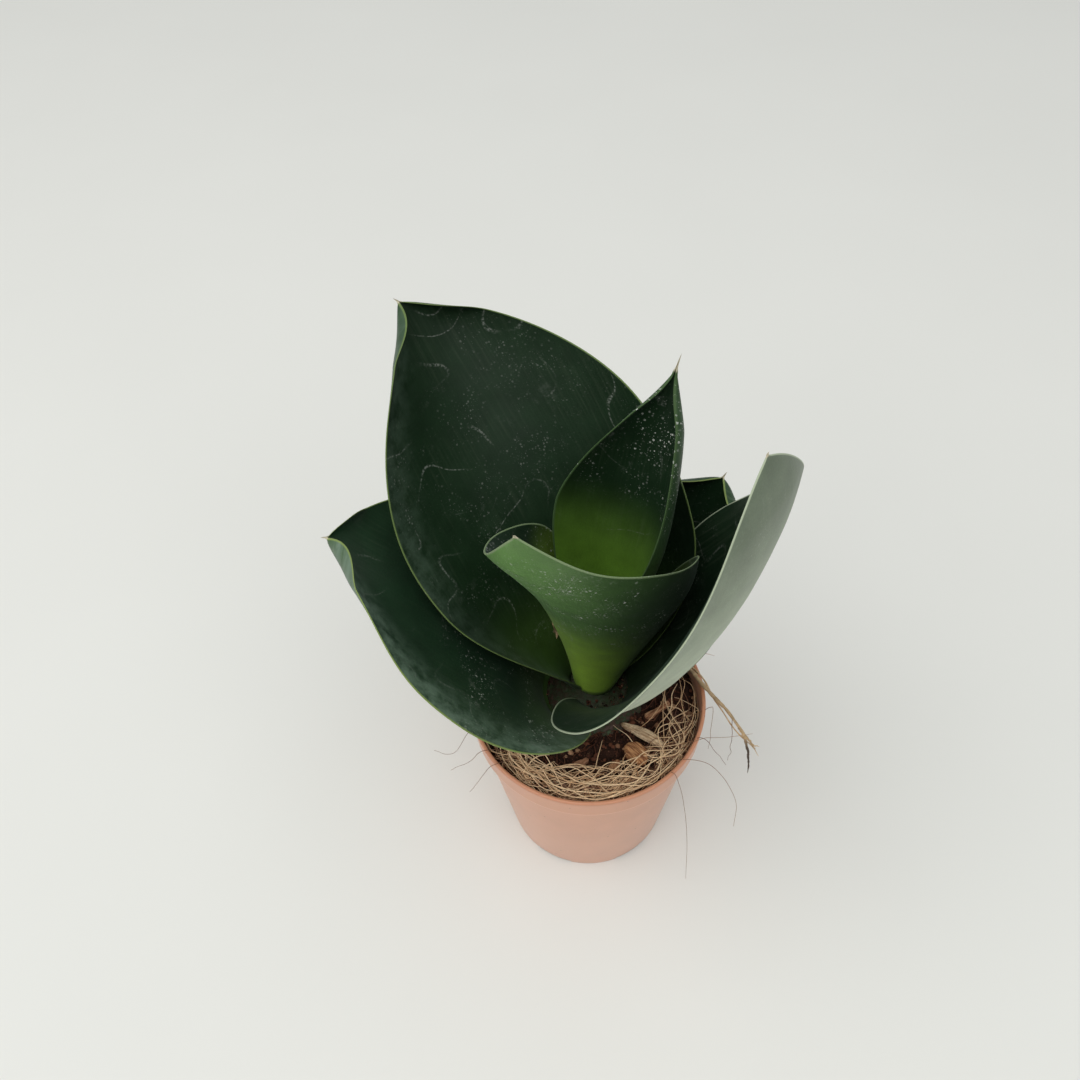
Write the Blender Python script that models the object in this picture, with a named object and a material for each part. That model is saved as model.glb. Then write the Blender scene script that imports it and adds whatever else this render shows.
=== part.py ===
"""A small potted snake plant of the bird's-nest kind.

A thin terracotta-coloured nursery pot holds peat soil. A short stem stands in the soil and carries
six broad, cupped leaves, each in its own place round the stem. Coir fibre, bark chips and one dry
root lie on the soil.

Driving dimensions are in millimetres and degrees, and each mesh is turned into metres when it is
made. +Z is up. The origin is the centre of the pot's underside, on the surface that the pot stands
on, and -Y is the side that the plant is looked at from.
"""

import math
from dataclasses import dataclass

import bmesh
import bpy
import numpy as np
from mathutils import Matrix

MM = 0.001
GAP = 0.3                      # clearance between touching pieces

# Pot: a 6 cm nursery pot with a collar below its rim.
POT_HEIGHT = 54.0
RIM_RADIUS = 30.0
COLLAR_HEIGHT = 6.7
COLLAR_FOOT_RADIUS = 29.6
BODY_TOP_RADIUS = 28.5
BASE_RADIUS = 22.0
POT_WALL = 1.0
POT_FLOOR = 1.2
POT_SEGMENTS = 64
NOTCH_COUNT = 6                # shallow drain notches round the foot
NOTCH_WIDTH = 10.0
NOTCH_DEPTH = 3.0
NOTCH_HEIGHT = 1.0
NOTCH_FIRST_AZIMUTH = -119.0
DRAIN_COUNT = 6                # round drain holes through the floor
DRAIN_RADIUS = 1.9
DRAIN_CIRCLE = 14.5
RIM_BEVEL = 0.3
COLLAR_STEP = 0.5             # height of the slope below the collar

# Soil and the short stem in it.
SOIL_LEVEL = 49.0
SOIL_SEGMENTS = 48
PLANT_X = 2.0                  # the plant's axis stands a little behind the pot's
PLANT_Y = 4.0
STEM_FOOT_Z = 36.0
STEM_FOOT_RADIUS = 9.0
STEM_COLLAR_RADIUS = 13.6
STEM_COLLAR_Z = 49.6
STEM_TOP_Z = 55.6
STEM_TOP_RADIUS = 1.6
STEM_SEGMENTS = 28
SOCKET_TOP_Z = 54.0            # the socket cutter ends well above the soil

# Leaf blades.
LEAF_ROWS = 19                 # sections from base to tip
LEAF_COLUMNS = 13              # points across a section
BLADE_THICKNESS = 2.0
SHEATH_THICKNESS = 1.0
MARGIN_THICKNESS = 0.3
TIP_HALF_WIDTH = 0.5

# Coir mat, bark and the dry root.
MAT_FROM, MAT_TO = -158.0, -22.0
MAT_INNER_RADIUS = 22.0
MAT_OUTER_RADIUS = 28.2
MAT_THICKNESS = 1.6
MAT_STEPS = 24


@dataclass(frozen=True)
class Leaf:
    """One leaf. Left and right are as seen on its upper face with the tip up.

    lean is the midrib's angle from upright at the base, the middle and the tip. curl is how far a
    half blade has turned by its margin, in radians: the middle's left and right, then the tip's.
    flare turns a margin back outwards, and sweep draws a margin down the leaf, in millimetres.
    """

    name: str
    azimuth: float
    drift: float
    lean: tuple
    length: float
    half_width: tuple
    widest_at: float
    base_share: float
    tip_shape: tuple
    curl: tuple
    flare: tuple
    twist: tuple
    sweep: tuple
    ring_radius: float
    base_z: float
    colour: tuple


LEAVES = (
    Leaf(
        name="leaf_back", azimuth=123, drift=19, lean=(21, 50, 27),
        length=101.0, half_width=(35.5, 46.5), widest_at=0.35, base_share=0.39,
        tip_shape=(2.2, 0.8), curl=(0.35, 1.15, 0.85), flare=(0, 0.15),
        twist=(1, 36, -9), sweep=(-3, 9), ring_radius=7.6, base_z=56,
        colour=(0.03, 0.068, 0.036),
    ),
    Leaf(
        name="leaf_left", azimuth=180, drift=-10, lean=(10, 58, 45),
        length=76.0, half_width=(37.5, 33.5), widest_at=0.37, base_share=0.51,
        tip_shape=(2.2, 0.7), curl=(0.15, 0.6, 0.5), flare=(-0.45, 0),
        twist=(0, 7, -24), sweep=(-5, -1.5), ring_radius=13.2, base_z=51.2,
        colour=(0.035, 0.085, 0.04),
    ),
    Leaf(
        name="leaf_centre", azimuth=41, drift=9, lean=(11, 19, 13),
        length=87.0, half_width=(20.5, 16.5), widest_at=0.55, base_share=0.3,
        tip_shape=(1.5, 1.05), curl=(0.9, 1.2, 1.55), flare=(-0.3, -0.1),
        twist=(2, 14, -15), sweep=(-5, 0.5), ring_radius=2.4, base_z=57.7,
        colour=(0.16, 0.27, 0.07),
    ),
    Leaf(
        name="leaf_front", azimuth=245, drift=-10, lean=(-5, 40, 18),
        length=93.0, half_width=(34, 29), widest_at=0.41, base_share=0.39,
        tip_shape=(1.25, 0.8), curl=(1.9, 1.5, -0.35), flare=(-0.1, -0.3),
        twist=(0, 9, -15), sweep=(-1.5, 12), ring_radius=4.4, base_z=57.7,
        colour=(0.13, 0.25, 0.08),
    ),
    Leaf(
        name="leaf_right", azimuth=-35, drift=-3, lean=(24, 28, -12),
        length=104.0, half_width=(34.5, 37), widest_at=0.46, base_share=0.42,
        tip_shape=(1.55, 0.75), curl=(0.7, 0.75, -0.05), flare=(-0.3, -0.9),
        twist=(5, -9, 5), sweep=(2, 12), ring_radius=9.6, base_z=53.8,
        colour=(0.3, 0.4, 0.28),
    ),
    Leaf(
        name="leaf_rear", azimuth=34, drift=8, lean=(21, 48, 19),
        length=58.5, half_width=(27, 28), widest_at=0.48, base_share=0.52,
        tip_shape=(1.95, 0.7), curl=(1, 1.15, 1), flare=(0, 0.1),
        twist=(-5, -1, -4), sweep=(1, 2), ring_radius=11, base_z=51.9,
        colour=(0.03, 0.06, 0.036),
    ),
)


@dataclass(frozen=True)
class Chip:
    """A bark chip: where it lies, its length, width and thickness, and how far it is turned."""

    name: str
    x: float
    y: float
    size: tuple
    turn: float
    tilt: float
    colour: tuple


CHIPS = (
    Chip("bark_chip_long", 13.2, -10.0, (12.5, 2.4, 1.5), -36.0, 2.0, (0.62, 0.47, 0.33)),
    Chip("bark_chip_front", 11.0, -15.6, (7.0, 3.6, 2.4), -48.0, 6.0, (0.42, 0.22, 0.11)),
    Chip("bark_chip_small", 5.6, -18.4, (3.6, 2.2, 1.6), 62.0, 4.0, (0.50, 0.29, 0.16)),
    Chip("bark_chip_left", -2.6, -17.0, (4.0, 2.0, 1.4), 35.0, 5.0, (0.36, 0.20, 0.12)),
    Chip("bark_chip_right", 17.6, -3.0, (8.0, 2.6, 1.4), 32.0, 3.0, (0.58, 0.40, 0.25)),
    Chip("bark_chip_rear", -16.0, 16.5, (7.0, 3.0, 1.6), 70.0, 4.0, (0.45, 0.27, 0.16)),
)

ROOT_PATH = (
    (23.2, 14.0, 50.9), (25.4, 9.6, 52.4), (28.0, 4.0, 54.9), (30.2, -0.6, 55.4),
    (32.8, -3.9, 54.6), (35.4, -7.1, 52.9), (39.1, -11.4, 49.2), (41.6, -13.8, 47.2),
)
ROOT_FORK = ((38.8, -11.1, 49.4), (39.6, -13.4, 46.2), (40.1, -15.0, 43.0), (39.8, -16.6, 39.6))
ROOT_RADIUS = 0.6
FORK_RADIUS = 0.4

POT_COLOUR = (0.62, 0.30, 0.19)
SOIL_COLOUR = (0.075, 0.042, 0.030)
STEM_COLOUR = (0.17, 0.27, 0.09)
COIR_COLOUR = (0.52, 0.37, 0.24)
ROOT_COLOUR = (0.55, 0.43, 0.26)


def clear_scene():
    """Remove every object, so that the script can be run again."""
    for obj in list(bpy.data.objects):
        bpy.data.objects.remove(obj, do_unlink=True)


def add_material(obj, colour, roughness):
    """Give an object its own material with its piece's colour and roughness."""
    material = bpy.data.materials.new(obj.name)
    material.use_nodes = True
    shader = material.node_tree.nodes["Principled BSDF"]
    shader.inputs["Base Color"].default_value = (*colour, 1.0)
    shader.inputs["Roughness"].default_value = roughness
    shader.inputs["Metallic"].default_value = 0.0
    obj.data.materials.append(material)


def add_object(name, bm, smooth_angle=40.0):
    """Turn a bmesh in millimetres into a named object in metres, with its faces pointing out."""
    bmesh.ops.remove_doubles(bm, verts=bm.verts, dist=1e-4)
    bmesh.ops.recalc_face_normals(bm, faces=bm.faces)
    bmesh.ops.scale(bm, vec=(MM, MM, MM), verts=bm.verts)
    mesh = bpy.data.meshes.new(name)
    bm.to_mesh(mesh)
    bm.free()
    mesh.shade_smooth()
    mesh.set_sharp_from_angle(angle=math.radians(smooth_angle))
    obj = bpy.data.objects.new(name, mesh)
    bpy.context.collection.objects.link(obj)
    return obj


def turned(profile, segments):
    """Spin a profile of (radius, height) points about +Z into a closed solid."""
    bm = bmesh.new()
    ring = [bm.verts.new((radius, 0.0, height)) for radius, height in profile]
    edges = [bm.edges.new(pair) for pair in zip(ring[:-1], ring[1:])]
    bmesh.ops.spin(
        bm, geom=ring + edges, cent=(0, 0, 0), axis=(0, 0, 1),
        angle=math.tau, steps=segments, use_merge=True,
    )
    bmesh.ops.remove_doubles(bm, verts=bm.verts, dist=1e-4)
    return bm


def cut(target, cutter):
    """Cut a hidden cutter out of a target with a live Boolean."""
    cutter.hide_render = True
    cutter.display_type = "WIRE"
    boolean = target.modifiers.new(cutter.name, "BOOLEAN")
    boolean.operation = "DIFFERENCE"
    boolean.object = cutter


def soil_height(x, y):
    """Height of the soil's surface: level, with low rises and hollows a centimetre or two apart."""
    broad = 0.35 * np.sin(0.31 * x + 0.8) * np.cos(0.27 * y - 0.4)
    fine = 0.15 * np.sin(0.83 * x - 0.61 * y)
    return SOIL_LEVEL + broad + fine


def inner_radius(z):
    """The pot body's inside radius at a height below the collar."""
    top = POT_HEIGHT - COLLAR_HEIGHT
    return BASE_RADIUS + (BODY_TOP_RADIUS - BASE_RADIUS) * z / top - POT_WALL


def build_pot():
    """The pot: tapered body, stepped collar, open top, drain notches and drain holes."""
    step_z = POT_HEIGHT - COLLAR_HEIGHT
    profile = [
        (0.0, 0.0), (BASE_RADIUS - RIM_BEVEL, 0.0), (BASE_RADIUS, RIM_BEVEL),
        (BODY_TOP_RADIUS, step_z - COLLAR_STEP), (COLLAR_FOOT_RADIUS, step_z),
        (RIM_RADIUS, POT_HEIGHT - RIM_BEVEL), (RIM_RADIUS - RIM_BEVEL, POT_HEIGHT),
        (RIM_RADIUS - POT_WALL + RIM_BEVEL, POT_HEIGHT),
        (RIM_RADIUS - POT_WALL, POT_HEIGHT - RIM_BEVEL),
        (COLLAR_FOOT_RADIUS - POT_WALL, step_z + COLLAR_STEP),
        (inner_radius(step_z), step_z - COLLAR_STEP), (inner_radius(POT_FLOOR), POT_FLOOR),
        (0.0, POT_FLOOR),
    ]
    pot = add_object("pot", turned(profile, POT_SEGMENTS), 35.0)
    add_material(pot, POT_COLOUR, 0.5)

    cutters = bmesh.new()
    for index in range(NOTCH_COUNT):
        azimuth = math.radians(NOTCH_FIRST_AZIMUTH + index * 360.0 / NOTCH_COUNT)
        made = bmesh.ops.create_cube(cutters, size=1.0)["verts"]
        bmesh.ops.scale(
            cutters, vec=(2.0 * NOTCH_DEPTH, NOTCH_WIDTH, 2.0 * NOTCH_HEIGHT), verts=made)
        bmesh.ops.translate(cutters, vec=(BASE_RADIUS, 0.0, 0.0), verts=made)
        bmesh.ops.rotate(
            cutters, cent=(0, 0, 0), matrix=Matrix.Rotation(azimuth, 3, "Z"), verts=made)
    notches = add_object("notch_cutter", cutters)
    cut(pot, notches)

    drills = bmesh.new()
    for index in range(DRAIN_COUNT):
        azimuth = math.radians(NOTCH_FIRST_AZIMUTH + (index + 0.5) * 360.0 / DRAIN_COUNT)
        made = bmesh.ops.create_cone(
            drills, cap_ends=True, segments=12, radius1=DRAIN_RADIUS, radius2=DRAIN_RADIUS,
            depth=4.0 * POT_FLOOR)["verts"]
        bmesh.ops.translate(
            drills, verts=made,
            vec=(DRAIN_CIRCLE * math.cos(azimuth), DRAIN_CIRCLE * math.sin(azimuth), 0.0))
    drain_drills = add_object("drain_cutter", drills)
    cut(pot, drain_drills)


def build_soil():
    """The soil: fills the pot below its level, uneven on top, with a socket for the stem."""
    step_z = POT_HEIGHT - COLLAR_HEIGHT
    foot_z = POT_FLOOR + GAP
    collar_radius = COLLAR_FOOT_RADIUS - POT_WALL - GAP
    top_radius = collar_radius + 0.1
    rings = (4.0, 8.0, 12.0, 16.0, 20.0, 24.0)
    profile = [(0.0, foot_z), (inner_radius(foot_z) - GAP, foot_z)]
    profile += [(inner_radius(step_z) - GAP, step_z - 0.4), (collar_radius, step_z + 1.0)]
    profile += [(top_radius, SOIL_LEVEL)]
    profile += [(radius, SOIL_LEVEL) for radius in reversed(rings)] + [(0.0, SOIL_LEVEL)]
    bm = turned(profile, SOIL_SEGMENTS)
    for vert in bm.verts:
        if vert.co.z > SOIL_LEVEL - 0.01:
            vert.co.z = soil_height(vert.co.x, vert.co.y)
    soil = add_object("soil", bm)
    add_material(soil, SOIL_COLOUR, 0.95)

    socket_profile = [
        (0.0, STEM_FOOT_Z - GAP), (STEM_FOOT_RADIUS + GAP, STEM_FOOT_Z - GAP),
        (STEM_COLLAR_RADIUS + GAP, STEM_COLLAR_Z - 2.0), (STEM_COLLAR_RADIUS + GAP, SOCKET_TOP_Z),
        (0.0, SOCKET_TOP_Z),
    ]
    socket = turned(socket_profile, STEM_SEGMENTS)
    bmesh.ops.translate(socket, verts=socket.verts, vec=(PLANT_X, PLANT_Y, 0.0))
    cut(soil, add_object("socket_cutter", socket))


def build_stem():
    """The short fleshy stem: set in the soil, with a low cone above it that carries the leaves."""
    profile = [
        (0.0, STEM_FOOT_Z), (STEM_FOOT_RADIUS, STEM_FOOT_Z),
        (STEM_COLLAR_RADIUS, STEM_COLLAR_Z - 1.6), (STEM_COLLAR_RADIUS, STEM_COLLAR_Z - 0.6),
        (STEM_COLLAR_RADIUS - 0.8, STEM_COLLAR_Z), (STEM_TOP_RADIUS, STEM_TOP_Z), (0.0, STEM_TOP_Z),
    ]
    bm = turned(profile, STEM_SEGMENTS)
    bmesh.ops.translate(bm, verts=bm.verts, vec=(PLANT_X, PLANT_Y, 0.0))
    stem = add_object("stem", bm, 50.0)
    add_material(stem, STEM_COLOUR, 0.55)


def three_point(u, first, middle, last):
    """A smooth run through three values: the quadratic Bernstein sum at u."""
    return first * (1 - u) ** 2 + 2 * middle * u * (1 - u) + last * u * u


def leaf_faces(leaf, rows, columns):
    """The upper and lower faces of a leaf as two grids of points, in millimetres.

    The midrib is the running sum of its direction, whose lean and azimuth change along the leaf.
    Across it, a section is a curve whose turning angle grows from the midrib to the margin:
    curl times v, plus flare times v to the fourth. The lower face lies one thickness below.
    """
    u = np.linspace(0.0, 1.0, rows)
    lean = np.radians(three_point(u, *leaf.lean))[:, None]
    heading = np.radians(leaf.azimuth + leaf.drift * u)
    outward = np.stack([np.cos(heading), np.sin(heading), np.zeros(rows)], -1)
    up = np.array([0.0, 0.0, 1.0])
    along = np.sin(lean) * outward + np.cos(lean) * up
    inward = np.sin(lean) * up - np.cos(lean) * outward
    across = np.cross(along, inward)
    twist = np.radians(three_point(u, *leaf.twist))[:, None]
    across, inward = (across * np.cos(twist) + inward * np.sin(twist),
                      inward * np.cos(twist) - across * np.sin(twist))

    midrib = np.zeros((rows, 3))
    midrib[1:] = np.cumsum((along[1:] + along[:-1]) / 2 * leaf.length / (rows - 1), axis=0)
    start = math.radians(leaf.azimuth)
    midrib += (PLANT_X + leaf.ring_radius * math.cos(start),
               PLANT_Y + leaf.ring_radius * math.sin(start), leaf.base_z)

    rise = leaf.base_share + (1 - leaf.base_share) * np.sin(
        np.pi / 2 * np.clip(u / leaf.widest_at, 0, 1))
    beyond = np.clip((u - leaf.widest_at) / (1 - leaf.widest_at), 0, 1)
    share = np.where(u < leaf.widest_at, rise,
                     np.clip(1 - beyond ** leaf.tip_shape[0], 0, 1) ** leaf.tip_shape[1])
    base_curl = leaf.base_share * sum(leaf.half_width) / 2 / leaf.ring_radius
    half = columns // 2
    v = np.linspace(0.0, 1.0, half + 1)
    body = SHEATH_THICKNESS + (BLADE_THICKNESS - SHEATH_THICKNESS) * np.clip(u / 0.25, 0, 1)
    thick = (body * np.clip(2.5 * share, 0, 1))[:, None] * (1 - v ** 3) + MARGIN_THICKNESS

    upper = np.zeros((rows, columns, 3))
    lower = np.zeros((rows, columns, 3))
    for side in (0, 1):
        width = np.maximum(leaf.half_width[side] * share, TIP_HALF_WIDTH)[:, None]
        curl = three_point(u, base_curl, leaf.curl[side], leaf.curl[2])[:, None]
        flare = three_point(u, 0.0, leaf.flare[side], 0.3 * leaf.flare[side])[:, None]
        turn = curl * v + flare * v ** 4
        offset = np.zeros((rows, half + 1))
        height = np.zeros((rows, half + 1))
        offset[:, 1:] = np.cumsum((np.cos(turn[:, 1:]) + np.cos(turn[:, :-1])) / 2, axis=1) / half
        height[:, 1:] = np.cumsum((np.sin(turn[:, 1:]) + np.sin(turn[:, :-1])) / 2, axis=1) / half
        drop = three_point(u, 0.0, leaf.sweep[side], 0.0)[:, None] * v ** 2
        sign = 1.0 if side else -1.0
        order = slice(half, None) if side else slice(half, None, -1)
        for grid, depth in ((upper, 0.0), (lower, thick)):
            x = offset * width + depth * np.sin(turn)
            y = height * width - depth * np.cos(turn)
            points = (midrib[:, None] + sign * x[..., None] * across[:, None]
                      + y[..., None] * inward[:, None] - drop[..., None] * along[:, None])
            grid[:, order] = points
    return upper, lower


def build_leaf(leaf):
    """One leaf as a closed solid: upper face, lower face and a thin margin all round."""
    upper, lower = leaf_faces(leaf, LEAF_ROWS, LEAF_COLUMNS)
    bm = bmesh.new()
    top = [[bm.verts.new(point) for point in row] for row in upper]
    bottom = [[bm.verts.new(point) for point in row] for row in lower]
    for grid in (top, bottom):
        for row, following in zip(grid[:-1], grid[1:]):
            for index in range(LEAF_COLUMNS - 1):
                bm.faces.new((row[index], row[index + 1], following[index + 1], following[index]))
    rims = [
        (top[0], bottom[0]), (top[-1], bottom[-1]),
        ([row[0] for row in top], [row[0] for row in bottom]),
        ([row[-1] for row in top], [row[-1] for row in bottom]),
    ]
    for edge_top, edge_bottom in rims:
        for index in range(len(edge_top) - 1):
            bm.faces.new((edge_top[index], edge_top[index + 1],
                          edge_bottom[index + 1], edge_bottom[index]))
    obj = add_object(leaf.name, bm, 60.0)
    add_material(obj, leaf.colour, 0.4)


def build_mat():
    """The coir mat: a curved pad on the soil along the front of the rim, thin at its ends."""
    bm = bmesh.new()
    sections = []
    for step in range(MAT_STEPS + 1):
        share = step / MAT_STEPS
        azimuth = math.radians(MAT_FROM + (MAT_TO - MAT_FROM) * share)
        fullness = 0.25 + 0.75 * math.sin(math.pi * share) ** 0.6
        inner = MAT_OUTER_RADIUS - (MAT_OUTER_RADIUS - MAT_INNER_RADIUS) * fullness
        thick = MAT_THICKNESS * fullness
        corners = []
        for radius, lift in ((inner, 0.0), (MAT_OUTER_RADIUS, 0.0), (MAT_OUTER_RADIUS, thick),
                             ((inner + MAT_OUTER_RADIUS) / 2, 1.3 * thick), (inner, 0.4 * thick)):
            x, y = radius * math.cos(azimuth), radius * math.sin(azimuth)
            corners.append(bm.verts.new((x, y, soil_height(x, y) + 2 * GAP + lift)))
        sections.append(corners)
    count = len(sections[0])
    for first, second in zip(sections[:-1], sections[1:]):
        for index in range(count):
            following = (index + 1) % count
            bm.faces.new((first[index], first[following], second[following], second[index]))
    bm.faces.new(sections[0])
    bm.faces.new(sections[-1])
    mat = add_object("coir_mat", bm)
    add_material(mat, COIR_COLOUR, 0.9)


def build_chip(chip):
    """A bark chip: a block with tapered, slightly skewed ends, lying on the soil."""
    length, width, thickness = chip.size
    bm = bmesh.new()
    verts = bmesh.ops.create_cube(bm, size=1.0)["verts"]
    bmesh.ops.subdivide_edges(bm, edges=bm.edges[:], cuts=2, use_grid_fill=True)
    for vert in bm.verts:
        end = abs(vert.co.x) * 2
        vert.co.y *= 1.0 - 0.45 * end ** 2
        vert.co.z *= 1.0 - 0.35 * end ** 2 + 0.25 * math.sin(7 * vert.co.y + 3 * vert.co.x)
        vert.co.y += 0.12 * math.sin(4 * vert.co.x + chip.turn)
    bmesh.ops.scale(bm, vec=chip.size, verts=bm.verts)
    lean = Matrix.Rotation(math.radians(chip.tilt), 3, "Y")
    swing = Matrix.Rotation(math.radians(chip.turn), 3, "Z")
    bmesh.ops.rotate(bm, cent=(0, 0, 0), matrix=swing @ lean, verts=bm.verts)
    ground = max(soil_height(chip.x + v.co.x, chip.y + v.co.y) for v in bm.verts)
    low = min(v.co.z for v in bm.verts)
    bmesh.ops.translate(bm, verts=bm.verts, vec=(chip.x, chip.y, ground + GAP - low))
    obj = add_object(chip.name, bm, 30.0)
    add_material(obj, chip.colour, 0.85)


def add_tube(name, points, radius, end_radius):
    """A round tube with filled ends along a route, thinning towards its far end."""
    curve = bpy.data.curves.new(name, "CURVE")
    curve.dimensions = "3D"
    curve.bevel_depth = radius * MM
    curve.bevel_resolution = 1
    curve.use_fill_caps = True
    spline = curve.splines.new("POLY")
    spline.points.add(len(points) - 1)
    for index, (point, place) in enumerate(zip(spline.points, points)):
        point.co = (*(value * MM for value in place), 1.0)
        share = index / (len(points) - 1)
        point.radius = 1.0 + (end_radius / radius - 1.0) * share
    source = bpy.data.objects.new(name + "_route", curve)
    bpy.context.collection.objects.link(source)
    mesh = bpy.data.meshes.new_from_object(source.evaluated_get(bpy.context.evaluated_depsgraph_get()))
    bpy.data.objects.remove(source)
    mesh.name = name
    bm = bmesh.new()
    bm.from_mesh(mesh)
    bmesh.ops.remove_doubles(bm, verts=bm.verts, dist=1e-7)
    bmesh.ops.recalc_face_normals(bm, faces=bm.faces)
    bm.to_mesh(mesh)
    bm.free()
    mesh.shade_smooth()
    obj = bpy.data.objects.new(name, mesh)
    bpy.context.collection.objects.link(obj)
    return obj


def build_root():
    """The dry root: rises from the soil, crosses the rim, leans out and forks near its end."""
    root = add_tube("dry_root", ROOT_PATH, ROOT_RADIUS, 0.6 * ROOT_RADIUS)
    add_material(root, ROOT_COLOUR, 0.8)
    fork = add_tube("root_fork", ROOT_FORK, FORK_RADIUS, 0.6 * FORK_RADIUS)
    fork.hide_render = True
    fork.display_type = "WIRE"
    union = root.modifiers.new("fork", "BOOLEAN")
    union.operation = "UNION"
    union.object = fork


def main():
    """Build every piece in place."""
    clear_scene()
    build_pot()
    build_soil()
    build_stem()
    for leaf in LEAVES:
        build_leaf(leaf)
    build_mat()
    for chip in CHIPS:
        build_chip(chip)
    build_root()


main()
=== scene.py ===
"""Looks for a small potted snake plant of the bird's-nest kind.

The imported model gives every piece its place. This script lays the living surface over it: fine
leaf blades with thin rims and pointed awns, a turned pot, crumbly soil, coir fibres, bark and a
dry root, each with a finish of its own. Lengths are in millimetres until a mesh is made, +Z is up,
and the origin is the centre of the pot's underside.
"""

import logging
import math
from dataclasses import dataclass
from enum import Enum

import bmesh
import bpy
import numpy as np
from mathutils import Matrix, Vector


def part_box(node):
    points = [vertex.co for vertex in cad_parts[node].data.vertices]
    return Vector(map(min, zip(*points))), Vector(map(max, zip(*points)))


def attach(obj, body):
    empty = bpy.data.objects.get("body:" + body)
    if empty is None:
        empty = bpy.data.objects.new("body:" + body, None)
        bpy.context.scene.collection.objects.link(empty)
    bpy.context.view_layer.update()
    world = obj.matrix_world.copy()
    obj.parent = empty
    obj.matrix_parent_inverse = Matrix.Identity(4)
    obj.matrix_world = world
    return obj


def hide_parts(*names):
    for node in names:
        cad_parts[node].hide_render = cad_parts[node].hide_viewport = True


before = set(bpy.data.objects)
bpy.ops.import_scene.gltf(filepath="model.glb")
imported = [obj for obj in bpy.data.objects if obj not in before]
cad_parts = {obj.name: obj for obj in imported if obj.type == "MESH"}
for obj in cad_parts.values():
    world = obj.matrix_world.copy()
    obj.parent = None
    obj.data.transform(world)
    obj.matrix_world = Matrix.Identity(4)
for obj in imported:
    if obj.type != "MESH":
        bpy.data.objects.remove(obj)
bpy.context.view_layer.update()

logging.basicConfig(level=logging.INFO, format="%(message)s")
LOG = logging.getLogger("plant")

MM = 0.001
BODY = "root"
Colour = tuple[float, float, float]
Point = tuple[float, float, float]
Array = np.ndarray
Piece = bpy.types.Object
Socket = bpy.types.NodeSocket

PLANT_X, PLANT_Y = 2.0, 4.0
SOIL_LEVEL = 49.0
SOIL_EDGE = 28.4


class Face(Enum):
    """Which face of a blade a point is on; the value is kept in the mesh for the finish."""

    LOWER = 0.0
    RIM = 0.5
    UPPER = 1.0


# ---------------------------------------------------------------- shapes as arrays


def eased(value: Array) -> Array:
    """The value held between 0 and 1 and eased at both ends: t squared times (3 - 2t)."""
    held = np.clip(value, 0.0, 1.0)
    return held * held * (3.0 - 2.0 * held)


def lattice_noise(points: Array, size: float, seed: int) -> Array:
    """Smooth noise between -1 and 1.

    Each corner of a cubic lattice of the given size has a fixed value, worked out by mixing the
    bits of its three whole-number places with the seed. A point takes the eased mean of the eight
    corners round it.

    Args:
        points: places, with the three coordinates in the last axis.
        size: the lattice's spacing, in the places' own units.
        seed: picks one noise out of many.

    Returns:
        One value for each place.
    """
    scaled = np.asarray(points, float) / size
    cell = np.floor(scaled).astype(np.int64)
    ease = scaled - cell
    ease = ease * ease * (3.0 - 2.0 * ease)
    total = np.zeros(scaled.shape[:-1])
    for corner in range(8):
        step = np.array([corner & 1, corner >> 1 & 1, corner >> 2 & 1])
        key = cell + step
        bits = (key[..., 0] * 374761393 + key[..., 1] * 668265263 + key[..., 2] * 1442695041
                + seed * 974711) & 0xFFFFFFFF
        bits = ((bits ^ (bits >> 13)) * 1274126177) & 0xFFFFFFFF
        bits = (bits ^ (bits >> 16)) & 0xFFFF
        weight = np.prod(np.where(step == 1, ease, 1.0 - ease), axis=-1)
        total += weight * (bits / 32767.5 - 1.0)
    return total


def three_point(u: Array, first: float, middle: float, last: float) -> Array:
    """A smooth run through three values: the quadratic Bernstein sum at u."""
    return first * (1 - u) ** 2 + 2 * middle * u * (1 - u) + last * u * u


def smooth_route(points: Array, count: int) -> Array:
    """A smooth route through chosen points, by the Catmull-Rom cubic between each pair.

    Args:
        points: the chosen points, one row each.
        count: how many points the route has.

    Returns:
        The route, one row for each point.
    """
    given = np.asarray(points, float)
    padded = np.vstack([2 * given[0] - given[1], given, 2 * given[-1] - given[-2]])
    where = np.linspace(0.0, len(given) - 1.0, count)
    first = np.minimum(where.astype(int), len(given) - 2)
    t = (where - first)[:, None]
    a, b, c, d = (padded[first + shift] for shift in range(4))
    return 0.5 * (2 * b + (c - a) * t + (2 * a - 5 * b + 4 * c - d) * t ** 2
                  + (3 * b - a - 3 * c + d) * t ** 3)


def grid_faces(rows: int, columns: int, wrap: bool) -> Array:
    """The quads of a grid of points stored row by row; wrap joins the last column to the first."""
    index = np.arange(rows * columns).reshape(rows, columns)
    following = np.roll(index, -1, axis=1)
    if not wrap:
        index, following = index[:, :-1], following[:, :-1]
    return np.stack([index[:-1], following[:-1], following[1:], index[1:]], -1).reshape(-1, 4)


def along_strand(t: Array, rate: float, row: object) -> Array:
    """Places for a strand's noise: the share of its length times a rate, in a row of its own."""
    return np.stack(np.broadcast_arrays(t * rate, row, 0.0 * t), -1)


def three_noises(places: Array, seed: int) -> Array:
    """A push along each axis, from a noise of its own."""
    return np.stack([lattice_noise(places, 1.0, seed + axis) for axis in range(3)], -1)


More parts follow.
